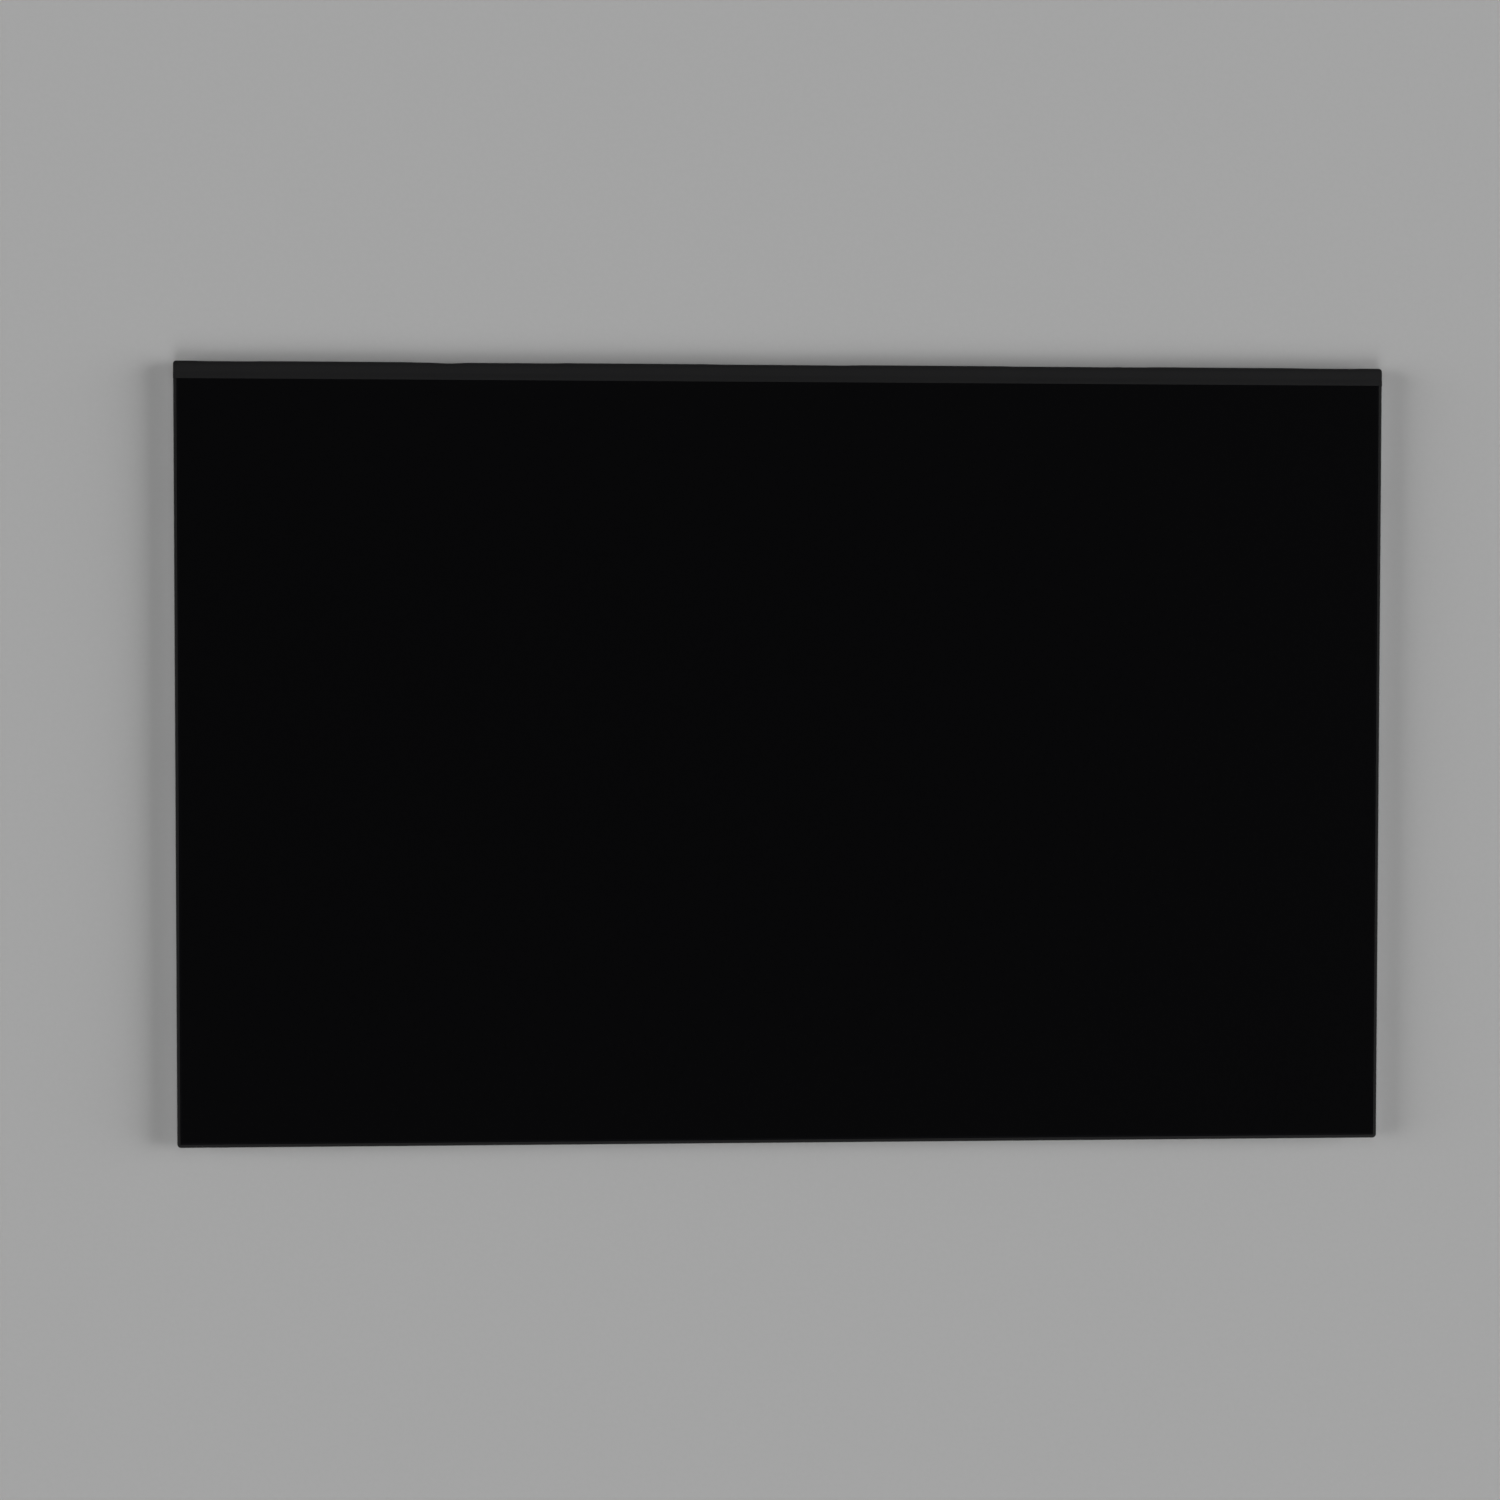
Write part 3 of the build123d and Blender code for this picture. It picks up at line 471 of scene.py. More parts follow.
def lamp_silicone(hues):
    """Phosphor-filled silicone in a white lamp package: a mealy yellow."""
    return grained("Phosphor-filled silicone", hues.lamp_glow, hues.white_film, grain=0.2, rough=(0.35, 0.5),
                   bump=0.1, IOR=1.41)


def transfer_adhesive(hues):
    """Acrylic transfer adhesive: a pale, slightly cloudy layer."""
    return grained("Acrylic transfer adhesive", hues.adhesive, hues.white_film, grain=0.5, rough=(0.3, 0.45),
                   bump=0.1, IOR=1.47)


def white_ink(hues):
    """Printed white board ink: flat and slightly uneven."""
    return grained("White board ink", hues.ink, hues.white_film, grain=0.1, rough=(0.55, 0.7), bump=0.1)


def grey_paper(stage):
    """Uncoated grey backdrop paper: even and matt, with a faint fibre mottle."""
    return grained("Grey backdrop paper", stage.floor, stage.floor_light, grain=1.2, rough=(0.8, 0.95),
                   bump=0.03)


# Mesh helpers


def wear(material, *nodes):
    """Give solids a material."""
    for node in nodes:
        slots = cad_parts[node].data.materials
        slots.clear()
        slots.append(material)


def make_piece(name, bm, materials, replaced=()):
    """Turn a built mesh into a piece of the panel that takes the place of the named solids."""
    bmesh.ops.recalc_face_normals(bm, faces=bm.faces)
    mesh = bpy.data.meshes.new(name)
    bm.to_mesh(mesh)
    bm.free()
    for material in materials:
        mesh.materials.append(material)
    mesh.shade_smooth()
    mesh.set_sharp_from_angle(angle=SHARP_ANGLE)
    piece = bpy.data.objects.new(name, mesh)
    bpy.context.scene.collection.objects.link(piece)
    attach(piece, BODY)
    if replaced:
        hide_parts(*replaced)


def solid_mesh(*nodes):
    """A copy of some solids, with the seams between their faces closed."""
    bm = bmesh.new()
    for node in nodes:
        bm.from_mesh(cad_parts[node].data)
    bmesh.ops.remove_doubles(bm, verts=bm.verts, dist=SEAM)
    return bm


def solid_boxes(node):
    """Corners of each separate solid in a node, from its lowest X to its highest."""
    bm = solid_mesh(node)
    unseen = set(bm.verts)
    boxes = []
    while unseen:
        front = [unseen.pop()]
        low, high = front[0].co.copy(), front[0].co.copy()
        while front:
            vert = front.pop()
            low = Vector(map(min, low, vert.co))
            high = Vector(map(max, high, vert.co))
            near = {edge.other_vert(vert) for edge in vert.link_edges} & unseen
            unseen -= near
            front.extend(near)
        boxes.append((low, high))
    bm.free()
    return sorted(boxes, key=lambda pair: (round(pair[0].x, 6), pair[0].y))


def add_block(bm, low, high, round_by, material=0):
    """A block with rounded edges between two corners; gives its vertices."""
    made = bmesh.ops.create_cube(bm, size=1.0)
    size = Vector(high) - Vector(low)
    middle = (Vector(high) + Vector(low)) / 2
    for vert in made["verts"]:
        vert.co = middle + vert.co * size
    edges = {edge for vert in made["verts"] for edge in vert.link_edges}
    rounded = bmesh.ops.bevel(bm, geom=list(edges), offset=round_by, segments=2, profile=0.6, affect="EDGES")
    for face in {face for vert in rounded["verts"] for face in vert.link_faces}:
        face.material_index = material
    return rounded["verts"]


def add_loft(bm, rows):
    """A closed solid through rings of equally many points, with flat ends."""
    rings = [[bm.verts.new(point) for point in row] for row in rows]
    bm.faces.new(rings[0][::-1])
    bm.faces.new(rings[-1])
    for one, two in zip(rings, rings[1:]):
        for i in range(len(one)):
            j = (i + 1) % len(one)
            bm.faces.new((one[i], one[j], two[j], two[i]))


def add_prism(bm, outline, height):
    """A closed prism that stands out from the board's rear face on an outline of X, Y points."""
    add_loft(bm, [[(x, y, level) for x, y in outline] for level in (BOARD_REAR - height, BOARD_REAR)])


def disc(x, y, radius, sides=20):
    """Points round a circle."""
    turns = [2 * math.pi * i / sides for i in range(sides)]
    return [(x + radius * math.cos(a), y + radius * math.sin(a)) for a in turns]


def ribbon(points, width):
    """Outline of a flat line of one width through X, Y points, mitred at its turns."""
    left, right = [], []
    for i, point in enumerate(points):
        here = Vector(point)
        before = (here - Vector(points[i - 1])).normalized() if i else None
        after = (Vector(points[i + 1]) - here).normalized() if i + 1 < len(points) else None
        before, after = before or after, after or before
        along = (before + after).normalized()
        side = Vector((-along.y, along.x)) * (width / 2 / along.dot(after))
        left.append(tuple(here + side))
        right.append(tuple(here - side))
    return left + right[::-1]


def add_fillet(bm, foot, outward, width, reach, height, steps=5):
    """A concave solder fillet that climbs a terminal, from a foot point on the board's rear face."""
    start = Vector((*foot, BOARD_REAR))
    outward = Vector((*outward, 0))
    across = Vector((-outward.y, outward.x, 0)) * (width / 2)
    profile = [(0.0, 0.0)] + [(reach * i / steps, height * (1 - i / steps) ** 2) for i in range(steps + 1)]
    add_loft(bm, [[start + outward * out + across * side - Vector((0, 0, up)) for out, up in profile]
                  for side in (-1, 1)])


def ease(part):
    """A smooth change from 0 to 1."""
    return 0.5 - 0.5 * math.cos(math.pi * min(1.0, max(0.0, part)))


# Cover tape


def tape_path(sizes):
    """Points down the tape's outer face, each with how far it may sink: front end, step, fold, rear end."""
    steps = sizes.fold_steps
    film_top, fold_z = FILM_HIGH.z + TAPE_THICKNESS, TAPE_LOW.z + FOLD_RADIUS
    step_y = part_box("color_filter_glass")[1].y - TAPE_THICKNESS
    path = [(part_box("front_polarizer")[1].y + TAPE_THICKNESS, TAPE_HIGH.z, 0.0)]
    for i in range(steps + 1):
        down = ease(i / steps)
        path.append((step_y + sizes.step_run * i / steps, TAPE_HIGH.z + (film_top - TAPE_HIGH.z) * down,
                     FILM_THICKNESS * down))
    for i in range(2 * steps + 1):
        angle = math.pi / 2 - math.pi * i / (2 * steps)
        free = FILM_THICKNESS + (sizes.fold_sink - FILM_THICKNESS) * math.cos(angle)
        path.append((FOLD_Y + FOLD_RADIUS * math.cos(angle), fold_z + FOLD_RADIUS * math.sin(angle), free))
    for i in range(steps + 1):
        up = ease(i / steps)
        path.append((FILM_LOW.y - sizes.end_run * i / steps, TAPE_LOW.z + FILM_THICKNESS * up,
                     FILM_THICKNESS * (1 - up)))
    path.append((TAPE_LOW.y, TAPE_LOW.z + FILM_THICKNESS, 0.0))
    return path


def unheld(x, sizes):
    """0 where a film or a block at the frame's corner holds the tape up, and 1 well between them."""
    gaps = [max(TAPE_HIGH.x - sizes.guard_length - abs(x), 0.0)]
    for name in FILMS:
        low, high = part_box(name)
        gaps.append(max(low.x - x, x - high.x, 0.0))
    return ease(min(gaps) / sizes.sink_run)


def fold_dent(x, sizes):
    """Depth of the fold's dents at a place along the tape."""
    return sum(depth * (1 - ease(abs(x - place) / sizes.dent_run))
               for place, depth in zip(sizes.dent_x, sizes.dent_depth))


def tape_stations(sizes):
    """Places along the tape, closer at its rounded corners, each with how far the fold is cut back there."""
    corner, steps = sizes.tape_corner, sizes.fold_steps // 2
    turns = [math.pi / 2 * i / steps for i in range(steps)]
    ends = [(corner * (1 - math.cos(turn)), corner * (1 - math.sin(turn))) for turn in turns]
    left, right = TAPE_LOW.x + corner, TAPE_HIGH.x - corner
    facets = round((right - left) / sizes.tape_facet)
    stations = [(TAPE_LOW.x + run, cut) for run, cut in ends]
    stations += [(left + (right - left) * i / facets, 0.0) for i in range(facets + 1)]
    return stations + [(TAPE_HIGH.x - run, cut) for run, cut in reversed(ends)]


def make_cover_tape(hues, sizes):
    """Tape that follows the films under it, and sinks and ripples a little between them."""
    path = tape_path(sizes)
    last = len(path) - 1
    gauge = sizes.tape_gauge
    rows = []
    for x, cut in tape_stations(sizes):
        hollow, dent = unheld(x, sizes), fold_dent(x, sizes)
        swell = sizes.ripple * (0.5 + 0.5 * noise.noise(Vector((x / sizes.ripple_length, 0, 0))))
        outer, inner = [], []
        for j, (y, z, sink) in enumerate(path):
            back, ahead = Vector(path[max(0, j - 1)][:2]), Vector(path[min(last, j + 1)][:2])
            along = (ahead - back).normalized()
            inward = Vector((along.y, -along.x))
            bend = max(0.0, -along.y) ** 2
            depth = hollow * sink + bend * (dent + swell)
            y += inward.x * depth
            z += inward.y * depth
            if cut and y > FOLD_Y:
                y -= cut * ((y - FOLD_Y) / FOLD_RADIUS) ** (FOLD_RADIUS / cut)
            outer.append((x, y, z))
            inner.append((x, y + inward.x * gauge, z + inward.y * gauge))
        rows.append(outer + inner[::-1])
    bm = bmesh.new()
    add_loft(bm, rows)
    make_piece("cover_tape_skin", bm, [polyester_tape(hues)], ["cover_tape"])


# Parts on the board


def long_axis(low, high):
    """1 where a small part lies along Y, and 0 where it lies along X or is square."""
    return 1 if high.y - low.y > high.x - low.x + SQUARE_SLACK else 0


def add_two_ended(bm, low, high, sizes, cover):
    """A small part with a body, two plated ends of the second material, and perhaps a cover of the third."""
    axis = long_axis(low, high)
    end = (high[axis] - low[axis]) * sizes.end_share
    shrink = sizes.end_round / 2
    body_low, body_high = low.copy(), high.copy()
    body_low[axis] += end / 2
    body_high[axis] -= end / 2
    body_low[1 - axis] += shrink
    body_high[1 - axis] -= shrink
    body_low.z += shrink
    add_block(bm, body_low, body_high, shrink, 0)
    for side in (0, 1):
        end_low, end_high = low.copy(), high.copy()
        if side:
            end_low[axis] = high[axis] - end
        else:
            end_high[axis] = low[axis] + end
        add_block(bm, end_low, end_high, sizes.end_round, 1)
    if cover:
        top_low, top_high = low.copy(), high.copy()
        top_low[axis] += end + sizes.glaze_gap
        top_high[axis] -= end + sizes.glaze_gap
        top_high.z = low.z + sizes.glaze_height
        add_block(bm, top_low, top_high, shrink / 2, 2)


def make_two_ended(name, node, materials, sizes):
    """All the small two-ended parts of a node."""
    bm = bmesh.new()
    for low, high in solid_boxes(node):
        add_two_ended(bm, low, high, sizes, cover=len(materials) > 2)
    make_piece(name, bm, materials, [node])


def make_inductors(hues, sizes):
    """Pressed power inductors: powder bodies in their solids' own form, on tinned feet."""
    nodes = ["supply_inductors", "backlight_inductor"]
    foot_top = BOARD_REAR - sizes.inductor_foot
    bm = solid_mesh(*nodes)
    bmesh.ops.bisect_plane(bm, geom=[*bm.verts, *bm.edges, *bm.faces], plane_co=(0, 0, foot_top),
                           plane_no=(0, 0, 1))
    for face in bm.faces:
        face.material_index = int(face.calc_center_median().z > foot_top + SEAM)
    make_piece("inductor_bodies", bm, [iron_powder(hues), tin_solder(hues)], nodes)


def make_diode(hues, sizes):
    """Flat-lead diode: a drafted epoxy body, two tinned leads and a pale bar at one end."""
    low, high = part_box("boost_diode")
    middle = (low + high) / 2
    lead, draft, ink = sizes.diode_lead_width / 2, sizes.diode_draft, sizes.ink_height
    bm = bmesh.new()
    add_block(bm, (low.x, middle.y - lead, high.z - sizes.diode_lead_height),
              (high.x, middle.y + lead, high.z), sizes.end_round / 2, 1)
    body_low, body_high = low + Vector((sizes.diode_lead, 0, ink)), high - Vector((sizes.diode_lead, 0, 0))
    for vert in add_block(bm, body_low, body_high, sizes.end_round, 0):
        rise = (body_high.z - vert.co.z) / (body_high.z - body_low.z)
        for axis in (0, 1):
            vert.co[axis] -= math.copysign(draft * rise, vert.co[axis] - middle[axis])
    bar_low = Vector((body_low.x + 2 * draft, low.y + 2 * draft, low.z))
    bar_high = Vector((bar_low.x + sizes.diode_bar, high.y - 2 * draft, low.z + 2 * ink))
    add_block(bm, bar_low, bar_high, ink / 3, 2)
    make_piece("boost_diode_body", bm, [chip_epoxy(hues), tin_solder(hues), white_ink(hues)],
               ["boost_diode"])


def chip_leads(node, sizes):
    """Lead places round a chip: a foot point on the board and the way out from the chip."""
    low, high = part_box(node)
    places = []
    for axis in (0, 1):
        start, run = low[axis] + sizes.lead_corner, high[axis] - low[axis] - 2 * sizes.lead_corner
        steps = max(1, round(run / sizes.lead_pitch))
        for i in range(steps + 1):
            along = start + run * i / steps
            for side, edge in ((-1, low[1 - axis]), (1, high[1 - axis])):
                if axis == 0:
                    places.append(((along, edge), (0, side)))
                else:
                    places.append(((edge, along), (side, 0)))
    return places


def tail_joint_places(sizes):
    """Places of the lamp tail's solder joints at its end on the board, from left to right."""
    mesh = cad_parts["led_flex"].data
    rear = min(vert.co.z for vert in mesh.vertices)
    on_board = [vert.co for vert in mesh.vertices if vert.co.z < rear + FILM_THICKNESS / 2]
    left, right = min(co.x for co in on_board), max(co.x for co in on_board)
    end = min(co.y for co in on_board)
    return [(left + (right - left) * (i + 0.5) / sizes.tail_joints, end) for i in range(sizes.tail_joints)]


def make_solder(hues, sizes):
    """Solder at every lead, terminal, foot and leg on the board, and the lamp tail's joints."""
    bm = bmesh.new()
    lead, climb = sizes.lead_width, sizes.lead_climb
    for node in CHIPS:
        for foot, out in chip_leads(node, sizes):
            add_fillet(bm, foot, out, lead, lead, climb)
    for node in ("ceramic_capacitors", "chip_resistors", "supply_fuse", "supply_inductors",
                 "backlight_inductor", "boost_diode"):
        for low, high in solid_boxes(node):
            axis = long_axis(low, high)
            middle = (low + high) / 2
            across = min((high[1 - axis] - low[1 - axis]) * sizes.fillet_share, sizes.fillet_width)
            for side, edge in ((-1, low[axis]), (1, high[axis])):
                foot = (edge, middle.y) if axis == 0 else (middle.x, edge)
                out = (side, 0) if axis == 0 else (0, side)
                add_fillet(bm, foot, out, across, sizes.fillet_reach, sizes.fillet_height)
    for low, high in solid_boxes("connector_contacts"):
        add_fillet(bm, ((low.x + high.x) / 2, high.y), (0, 1), lead, lead, climb / 2)
    low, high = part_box("connector_shell")
    for x, side in ((low.x, -1), (high.x, 1)):
        add_fillet(bm, (x, (low.y + high.y) / 2), (side, 0), (high.y - low.y) / 2, sizes.fillet_reach,
                   sizes.fillet_height)
    joint = sizes.tail_joint
    for x, y in tail_joint_places(sizes):
        add_block(bm, (x - joint / 2, y - joint, BOARD_REAR - sizes.tail_joint_height),
                  (x + joint / 2, y + joint, BOARD_REAR), sizes.tail_joint_round)
    make_piece("solder_joints", bm, [tin_solder(hues)])


# Copper and print on the board


def turn_route(start, lane, end, cut):
    """A line from a point to a lane along X, along it and off it to an end, with its corners cut."""
    (x, y), (end_x, end_y) = start, end
    along, on, off = (math.copysign(cut, way) for way in (end_x - x, lane - y, end_y - lane))
    return [start, (x, lane - on), (x + along, lane), (end_x - along, lane), (end_x, lane + off), end]


def socket_routes(sizes):
    """Lines from the socket's feet: a third to vias on each side, and the rest under the tape."""
    pitch, room = sizes.line_pitch, sizes.lane_room
    feet = [((low.x + high.x) / 2, high.y) for low, high in solid_boxes("connector_contacts")]
    low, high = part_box("connector_shell")
    third = len(feet) // 3
    routes = [[(x, y), (x, TAPE_LOW.y + sizes.line_tuck)] for x, y in feet[third:-third]]
    for i in range(third):
        lane, away = TAPE_LOW.y - (third - i) * pitch, i * sizes.lane_via_pitch
        end_y = lane - sizes.stub_stagger
        routes.append(turn_route(feet[i], lane, (low.x - room[0] - away, end_y), pitch))
        routes.append(turn_route(feet[-1 - i], lane, (high.x + room[1] + away, end_y), pitch))
    return routes


def chip_routes(sizes):
    """Lines from the large chips: under the tape on one side, and to a row of vias on the other."""
    routes = []
    for node in ("timing_controller_chip", "power_chip", "level_shifter_chip"):
        leads = chip_leads(node, sizes)
        upper = sorted(foot for foot, out in leads if out == (0, 1))
        lower = sorted(foot for foot, out in leads if out == (0, -1))
        routes += [[(x, y), (x, TAPE_LOW.y + sizes.line_tuck)] for x, y in upper]
        routes += [[(x, y), (x, y - sizes.via_gap)] for x, y in lower[::2]]
    return routes


def tail_routes(sizes):
    """Lines from the lamp driver round its inductor to the tail, and short ones at its other joints."""
    pitch = sizes.line_pitch
    leads = sorted(foot for foot, out in chip_leads("led_driver_chip", sizes) if out == (0, -1))
    joints = [(x, y - sizes.tail_joint / 2) for x, y in tail_joint_places(sizes)]
    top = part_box("backlight_inductor")[0].y - sizes.print_gap - sizes.print_width
    routes = [turn_route(leads[i], top - i * pitch, joints[-1 - i], pitch) for i in range(sizes.tail_lines)]
    for i, (x, y) in enumerate(joints[:-sizes.tail_lines]):
        routes.append([(x, y), (x, y - sizes.stub_length - i % 2 * sizes.stub_stagger)])
    return routes


def film_routes(sizes):
    """Lines from each film to staggered vias beside its capacitors."""
    routes = []
    for name in FILMS:
        low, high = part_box(name)
        for side in (-1, 1):
            for i in range(sizes.film_lines):
                x = (low.x + high.x) / 2 + side * (sizes.film_line_start + 2 * i * sizes.line_pitch)
                end_y = TAPE_LOW.y - sizes.stub_length - i % 3 * sizes.stub_stagger
                routes.append([(x, TAPE_LOW.y + sizes.line_tuck), (x, end_y)])
    return routes


def edge_vias(sizes):
    """Places of the ground vias along the board's inner edge, clear of the socket's mouth."""
    low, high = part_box("connector_shell")
    reach = high.x + sizes.via_run
    steps = int(2 * reach / sizes.via_pitch)
    places = [-reach + 2 * reach * i / steps for i in range(steps + 1)]
    left, right = low.x - sizes.via_clear, high.x + sizes.via_clear
    return [(x, BOARD_LOW.y + 2 * sizes.via_radius) for x in places if not left < x < right]


def make_copper(hues, sizes):
    """Copper lines under the mask, a ring at each line's end, and rings along the board's inner edge."""
    bm = bmesh.new()
    rings = edge_vias(sizes)
    for route in socket_routes(sizes) + chip_routes(sizes) + tail_routes(sizes) + film_routes(sizes):
        add_prism(bm, ribbon(route, sizes.line_width), sizes.copper_height)
        rings.append(route[-1])
    for x, y in rings:
        add_prism(bm, disc(x, y, sizes.via_radius), sizes.via_height)
    make_piece("copper_lines", bm, [masked_copper(hues)])


def make_pads(hues, sizes):
    """Rows of round gold test pads on the free stretches of the board."""
    outer, inner = (TAPE_LOW.y - drop for drop in sizes.pad_drop)
    beside_tail = tail_joint_places(sizes)[0][0] - sizes.pad_gap
    beside_driver, beside_timing = (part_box(node)[1].x + sizes.pad_gap
                                    for node in ("led_driver_chip", "timing_controller_chip"))
    # Each row has its first pad, the way that it runs along X, its number of pads and its level in Y
    rows = ((BOARD_LOW.x + sizes.pad_inset, 1, 8, outer), (BOARD_HIGH.x - sizes.pad_inset, -1, 8, outer),
            (beside_tail, -1, 4, inner), (beside_driver, 1, 5, inner), (beside_timing, 1, 8, inner))
    bm = bmesh.new()
    for start, way, pads, y in rows:
        for i in range(pads):
            x = start + way * i * sizes.pad_pitch
            add_prism(bm, disc(x, y, sizes.pad_radius), sizes.copper_height)
    make_piece("test_pads", bm, [immersion_gold(hues)])


def make_print(hues, sizes):
    """White ink: printed corners round each chip and inductor, and a dot at each chip's first corner."""
    bm = bmesh.new()
    height, gap = sizes.print_height, sizes.print_gap
    chips = [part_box(node) for node in CHIPS]
    for low, high in chips + solid_boxes("supply_inductors") + solid_boxes("backlight_inductor"):
        left, right, near, far = low.x - gap, high.x + gap, low.y - gap, high.y + gap
        corners = [Vector(corner) for corner in ((left, near), (right, near), (right, far), (left, far))]
        for i, here in enumerate(corners):
            ends = [here + (corner - here).normalized() * sizes.print_tick
                    for corner in (corners[i - 1], corners[(i + 1) % 4])]
            add_prism(bm, ribbon([ends[0], here, ends[1]], sizes.print_width), height)
    for low, high in chips:
        add_prism(bm, disc(low.x - 2 * gap, low.y - gap, sizes.print_width), height)
    make_piece("board_print", bm, [white_ink(hues)])


# Operators


def settings(context):
    """The panel's colours and sizes."""
    return context.scene.panel_colours, context.scene.panel_sizes


class PANEL_OT_cell(bpy.types.Operator):
    """Finish the liquid-crystal cell: matt film, glass and rear film"""

    bl_idname = "panel.cell"
    bl_label = "Finish the cell"

    def execute(self, context):
        hues, _ = settings(context)
        wear(anti_glare_polarizer(hues), "front_polarizer")
        wear(masked_glass(hues), "color_filter_glass", "array_glass", "rear_polarizer")
        return {"FINISHED"}


class PANEL_OT_backlight(bpy.types.Operator):
    """Finish the backlight's sheets, guide and lamps"""

    bl_idname = "panel.backlight"
    bl_label = "Finish the backlight"

    def execute(self, context):
        hues, _ = settings(context)
        wear(optical_polyester(hues), "diffuser_sheet", "lower_prism_sheet", "upper_prism_sheet")
        wear(white_polyester(hues), "reflector_sheet", "led_flex_tape")
        wear(guide_acrylic(hues), "light_guide_plate")
        wear(lamp_silicone(hues), "backlight_leds")
        return {"FINISHED"}


class PANEL_OT_circuits(bpy.types.Operator):
    """Finish the driver films, their chips and the lamp circuit"""

    bl_idname = "panel.circuits"
    bl_label = "Finish the flexible circuits"

    def execute(self, context):
        hues, sizes = settings(context)
        wear(polyimide_circuit(hues, sizes.flex_pitch), "led_flex", *FILMS)
        wear(lapped_silicon(hues), *DRIVER_CHIPS)
        return {"FINISHED"}


class PANEL_OT_case(bpy.types.Operator):
    """Finish the moulded frame and the aluminium tray"""

    bl_idname = "panel.case"
    bl_label = "Finish the frame and tray"

    def execute(self, context):
        hues, _ = settings(context)
        wear(moulded_polycarbonate(hues), "mould_frame")
        wear(rolled_aluminium(hues), "back_plate")
        return {"FINISHED"}


class PANEL_OT_tape(bpy.types.Operator):
    """Lay the black tape over the driver edge and round the cell"""

    bl_idname = "panel.tape"
    bl_label = "Lay the tape"

    def execute(self, context):
        hues, sizes = settings(context)
        make_cover_tape(hues, sizes)
        wear(polyester_tape(hues), "rim_tape")
        return {"FINISHED"}


class PANEL_OT_board(bpy.types.Operator):
    """Finish the control board: mask, copper lines, test pads and print"""

    bl_idname = "panel.board"
    bl_label = "Finish the board"

    def execute(self, context):
        hues, sizes = settings(context)
        wear(solder_mask(hues), "control_board")
        wear(transfer_adhesive(hues), "board_adhesive")
        make_copper(hues, sizes)
        make_pads(hues, sizes)
        make_print(hues, sizes)
        return {"FINISHED"}


class PANEL_OT_small_parts(bpy.types.Operator):
    """Make the capacitors, resistors and fuse"""

    bl_idname = "panel.small_parts"
    bl_label = "Make the small parts"

    def execute(self, context):
        hues, sizes = settings(context)
        tin, alumina = tin_solder(hues), white_alumina(hues)
        make_two_ended("capacitor_bodies", "ceramic_capacitors", [capacitor_ceramic(hues), tin], sizes)
        make_two_ended("resistor_bodies", "chip_resistors", [alumina, tin, resistor_glaze(hues)], sizes)
        make_two_ended("fuse_body", "supply_fuse", [alumina, tin], sizes)
        return {"FINISHED"}


class PANEL_OT_power_parts(bpy.types.Operator):
    """Make the inductors and the diode"""

    bl_idname = "panel.power_parts"
    bl_label = "Make the inductors and diode"

    def execute(self, context):
        hues, sizes = settings(context)
        make_inductors(hues, sizes)
        make_diode(hues, sizes)
        return {"FINISHED"}


class PANEL_OT_chips(bpy.types.Operator):
    """Finish the chips"""

    bl_idname = "panel.chips"
    bl_label = "Finish the chips"

    def execute(self, context):
        hues, _ = settings(context)
        wear(chip_epoxy(hues), *CHIPS)
        return {"FINISHED"}


class PANEL_OT_socket(bpy.types.Operator):
    """Finish the signal socket"""

    bl_idname = "panel.socket"
    bl_label = "Finish the socket"

    def execute(self, context):
        hues, _ = settings(context)
        wear(socket_polymer(hues), "connector_housing")
        wear(immersion_gold(hues), "connector_contacts")
        wear(tinned_steel(hues), "connector_shell")
        return {"FINISHED"}


class PANEL_OT_solder(bpy.types.Operator):
    """Solder the chips, parts, socket and lamp tail to the board"""

    bl_idname = "panel.solder"
    bl_label = "Solder the parts"

    def execute(self, context):
        hues, sizes = settings(context)
        make_solder(hues, sizes)
        return {"FINISHED"}


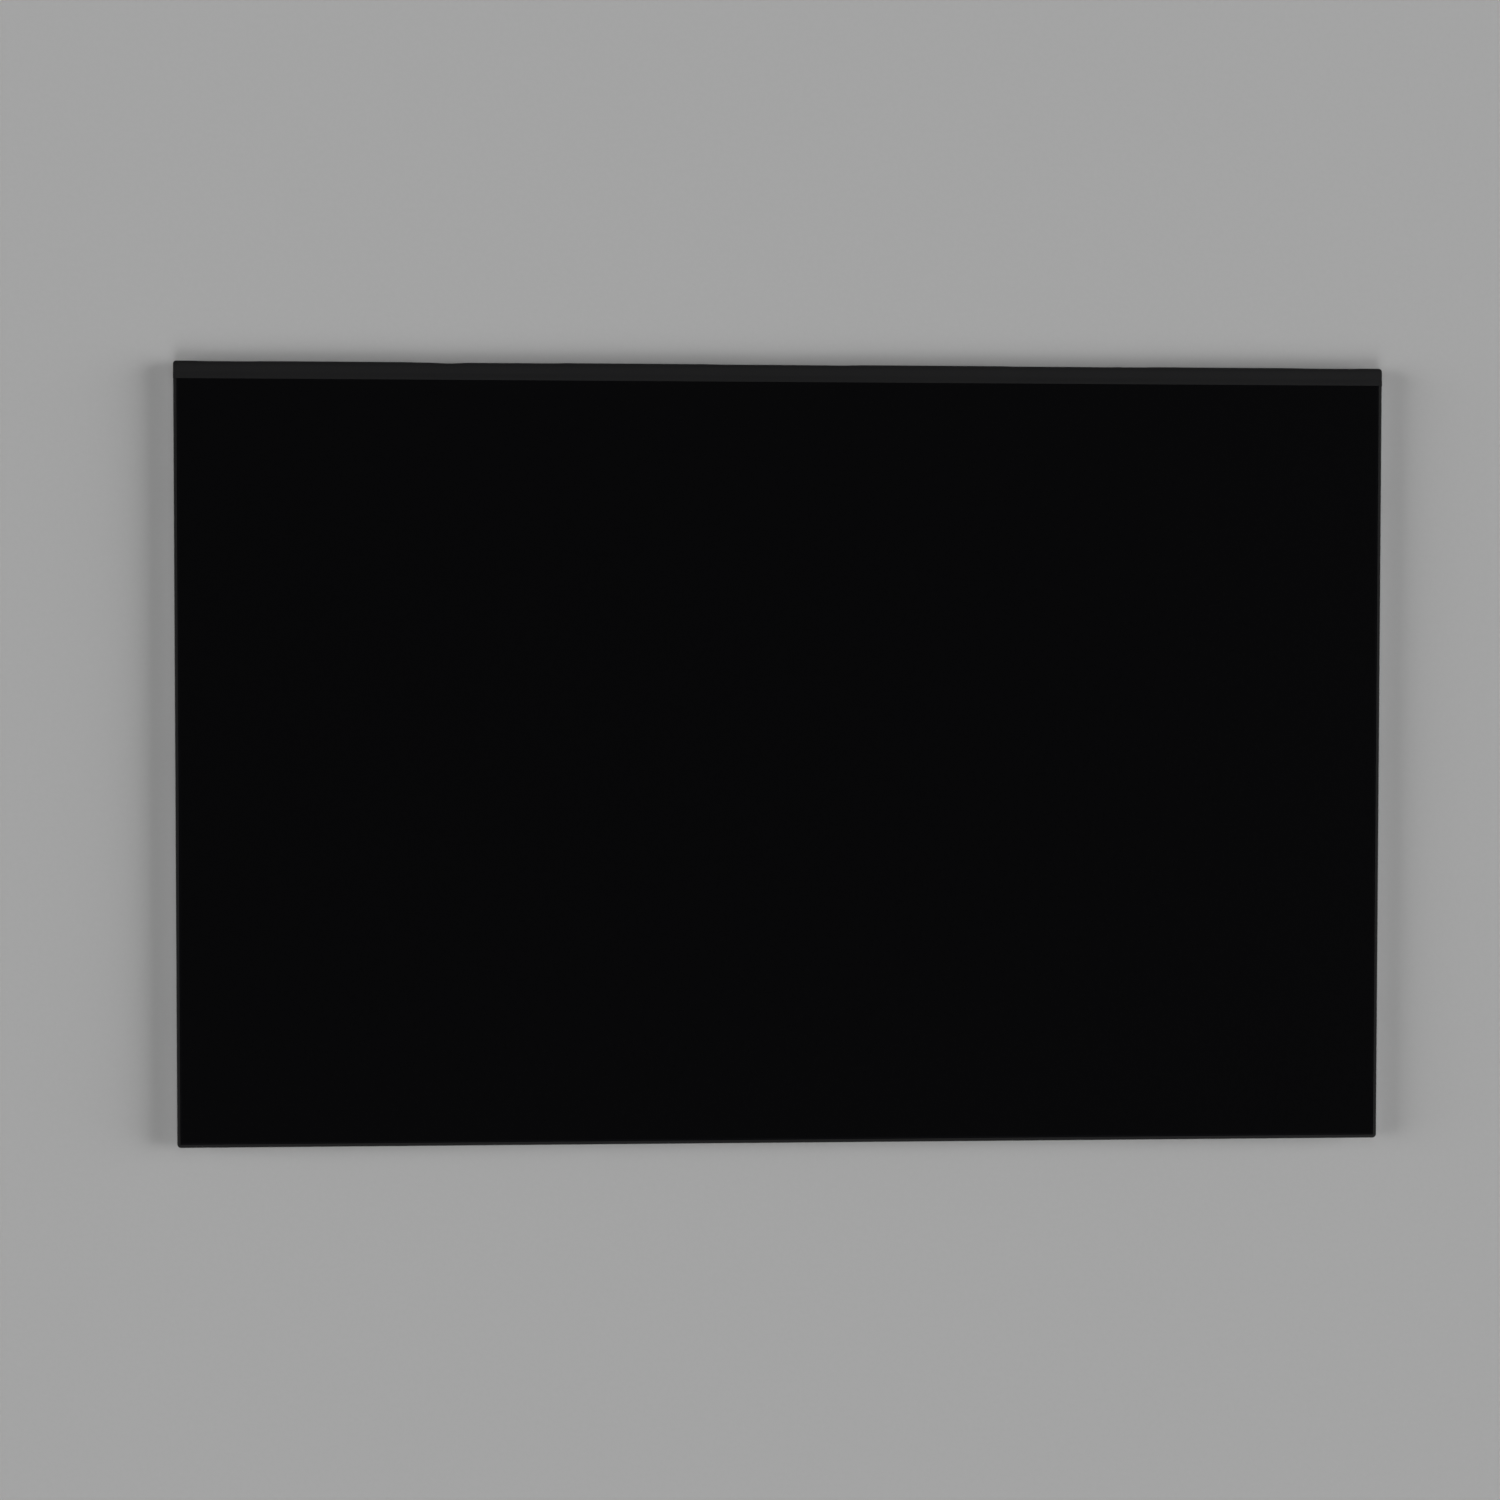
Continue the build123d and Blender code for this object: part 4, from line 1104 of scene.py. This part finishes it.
class PANEL_OT_stage(bpy.types.Operator):
    """Set the floor, lamps, room and camera"""

    bl_idname = "panel.stage"
    bl_label = "Set the stage"

    def execute(self, context):
        scene = context.scene
        stage = scene.panel_stage
        middle = (CAD_BOX[0] + CAD_BOX[1]) / 2
        self.lay_floor(scene, stage)
        self.hang_lamps(scene, stage, middle)
        self.paint_room(scene, stage)
        self.place_camera(scene, stage, Vector((middle.x, middle.y, CAD_BOX[1].z)))
        scene.view_settings.view_transform = "Standard"
        return {"FINISHED"}

    def lay_floor(self, scene, stage):
        """A flat sheet of backdrop paper under the panel."""
        half, level = stage.floor_size / 2, CAD_BOX[0].z
        corners = [(-half, -half, level), (half, -half, level), (half, half, level), (-half, half, level)]
        mesh = bpy.data.meshes.new("floor")
        mesh.from_pydata(corners, [], [(0, 1, 2, 3)])
        mesh.materials.append(grey_paper(stage))
        floor = bpy.data.objects.new("floor", mesh)
        scene.collection.objects.link(floor)

    def hang_lamps(self, scene, stage, middle):
        """Four far, soft lamps round the panel, from the driver edge clockwise."""
        for i, name in enumerate(("driver_lamp", "right_lamp", "near_lamp", "left_lamp")):
            light = bpy.data.lights.new(name, "SUN")
            light.angle = stage.lamp_spread
            light.energy = stage.lamp_strength[i]
            turn, rise = math.pi / 2 * (1 - i), stage.lamp_height[i]
            away = Vector((math.cos(turn) * math.cos(rise), math.sin(turn) * math.cos(rise), math.sin(rise)))
            lamp = bpy.data.objects.new(name, light)
            lamp.location = middle + away
            lamp.rotation_euler = (-away).to_track_quat("-Z", "Y").to_euler()
            scene.collection.objects.link(lamp)

    def paint_room(self, scene, stage):
        """A room that is pale at the horizon and dark overhead."""
        world = bpy.data.worlds.new("room")
        world.use_nodes = True
        tree = world.node_tree
        tree.nodes.clear()
        way = add_node(tree, "ShaderNodeTexCoord").outputs["Generated"]
        height = add_node(tree, "ShaderNodeSeparateXYZ", Vector=way)
        rise = add_node(tree, "ShaderNodeMapRange", {"interpolation_type": "SMOOTHSTEP"},
                        Value=height.outputs["Z"], From_Min=0.0, From_Max=0.5)
        tone = add_node(tree, "ShaderNodeMix", {"data_type": "RGBA"}, i0=rise.outputs[0],
                        i6=stage.horizon, i7=stage.ceiling)
        shader = add_node(tree, "ShaderNodeBackground", Color=tone.outputs[2])
        add_node(tree, "ShaderNodeOutputWorld", Surface=shader.outputs[0])
        scene.world = world

    def place_camera(self, scene, stage, target):
        """A camera over the panel, at the photograph's distance and slight tilt."""
        data = bpy.data.cameras.new("camera")
        data.lens = data.sensor_width * stage.focal_px / stage.image_px
        camera = bpy.data.objects.new("camera", data)
        turn = Euler(stage.tilt, "ZYX")
        camera.rotation_mode = turn.order
        camera.rotation_euler = turn
        camera.location = target - turn.to_matrix() @ Vector(stage.offset)
        scene.collection.objects.link(camera)
        scene.camera = camera


OPERATORS = (PANEL_OT_cell, PANEL_OT_backlight, PANEL_OT_circuits, PANEL_OT_case, PANEL_OT_tape,
             PANEL_OT_board, PANEL_OT_small_parts, PANEL_OT_power_parts, PANEL_OT_chips, PANEL_OT_socket,
             PANEL_OT_solder, PANEL_OT_stage)


class PANEL_PT_sidebar(bpy.types.Panel):
    """Sidebar list of the steps"""

    bl_idname = "PANEL_PT_sidebar"
    bl_label = "Screen panel"
    bl_space_type = "VIEW_3D"
    bl_region_type = "UI"
    bl_category = "Screen panel"

    def draw(self, context):
        for operator in OPERATORS:
            self.layout.operator(operator.bl_idname)


SETTINGS = {"panel_colours": PanelColours, "panel_sizes": PanelSizes, "panel_stage": PanelStage}
CLASSES = (*SETTINGS.values(), *OPERATORS, PANEL_PT_sidebar)


def register():
    """Register the classes and hang the settings on the scene."""
    for cls in CLASSES:
        bpy.utils.register_class(cls)
    for name, group in SETTINGS.items():
        setattr(bpy.types.Scene, name, PointerProperty(type=group))


def unregister():
    """Take the settings and the classes away again."""
    for name in SETTINGS:
        delattr(bpy.types.Scene, name)
    for cls in reversed(CLASSES):
        bpy.utils.unregister_class(cls)


def main():
    """Run every step in order."""
    register()
    bpy.ops.panel.cell()
    bpy.ops.panel.backlight()
    bpy.ops.panel.circuits()
    bpy.ops.panel.case()
    bpy.ops.panel.tape()
    bpy.ops.panel.board()
    bpy.ops.panel.small_parts()
    bpy.ops.panel.power_parts()
    bpy.ops.panel.chips()
    bpy.ops.panel.socket()
    bpy.ops.panel.solder()
    bpy.ops.panel.stage()


if __name__ == "__main__":
    main()
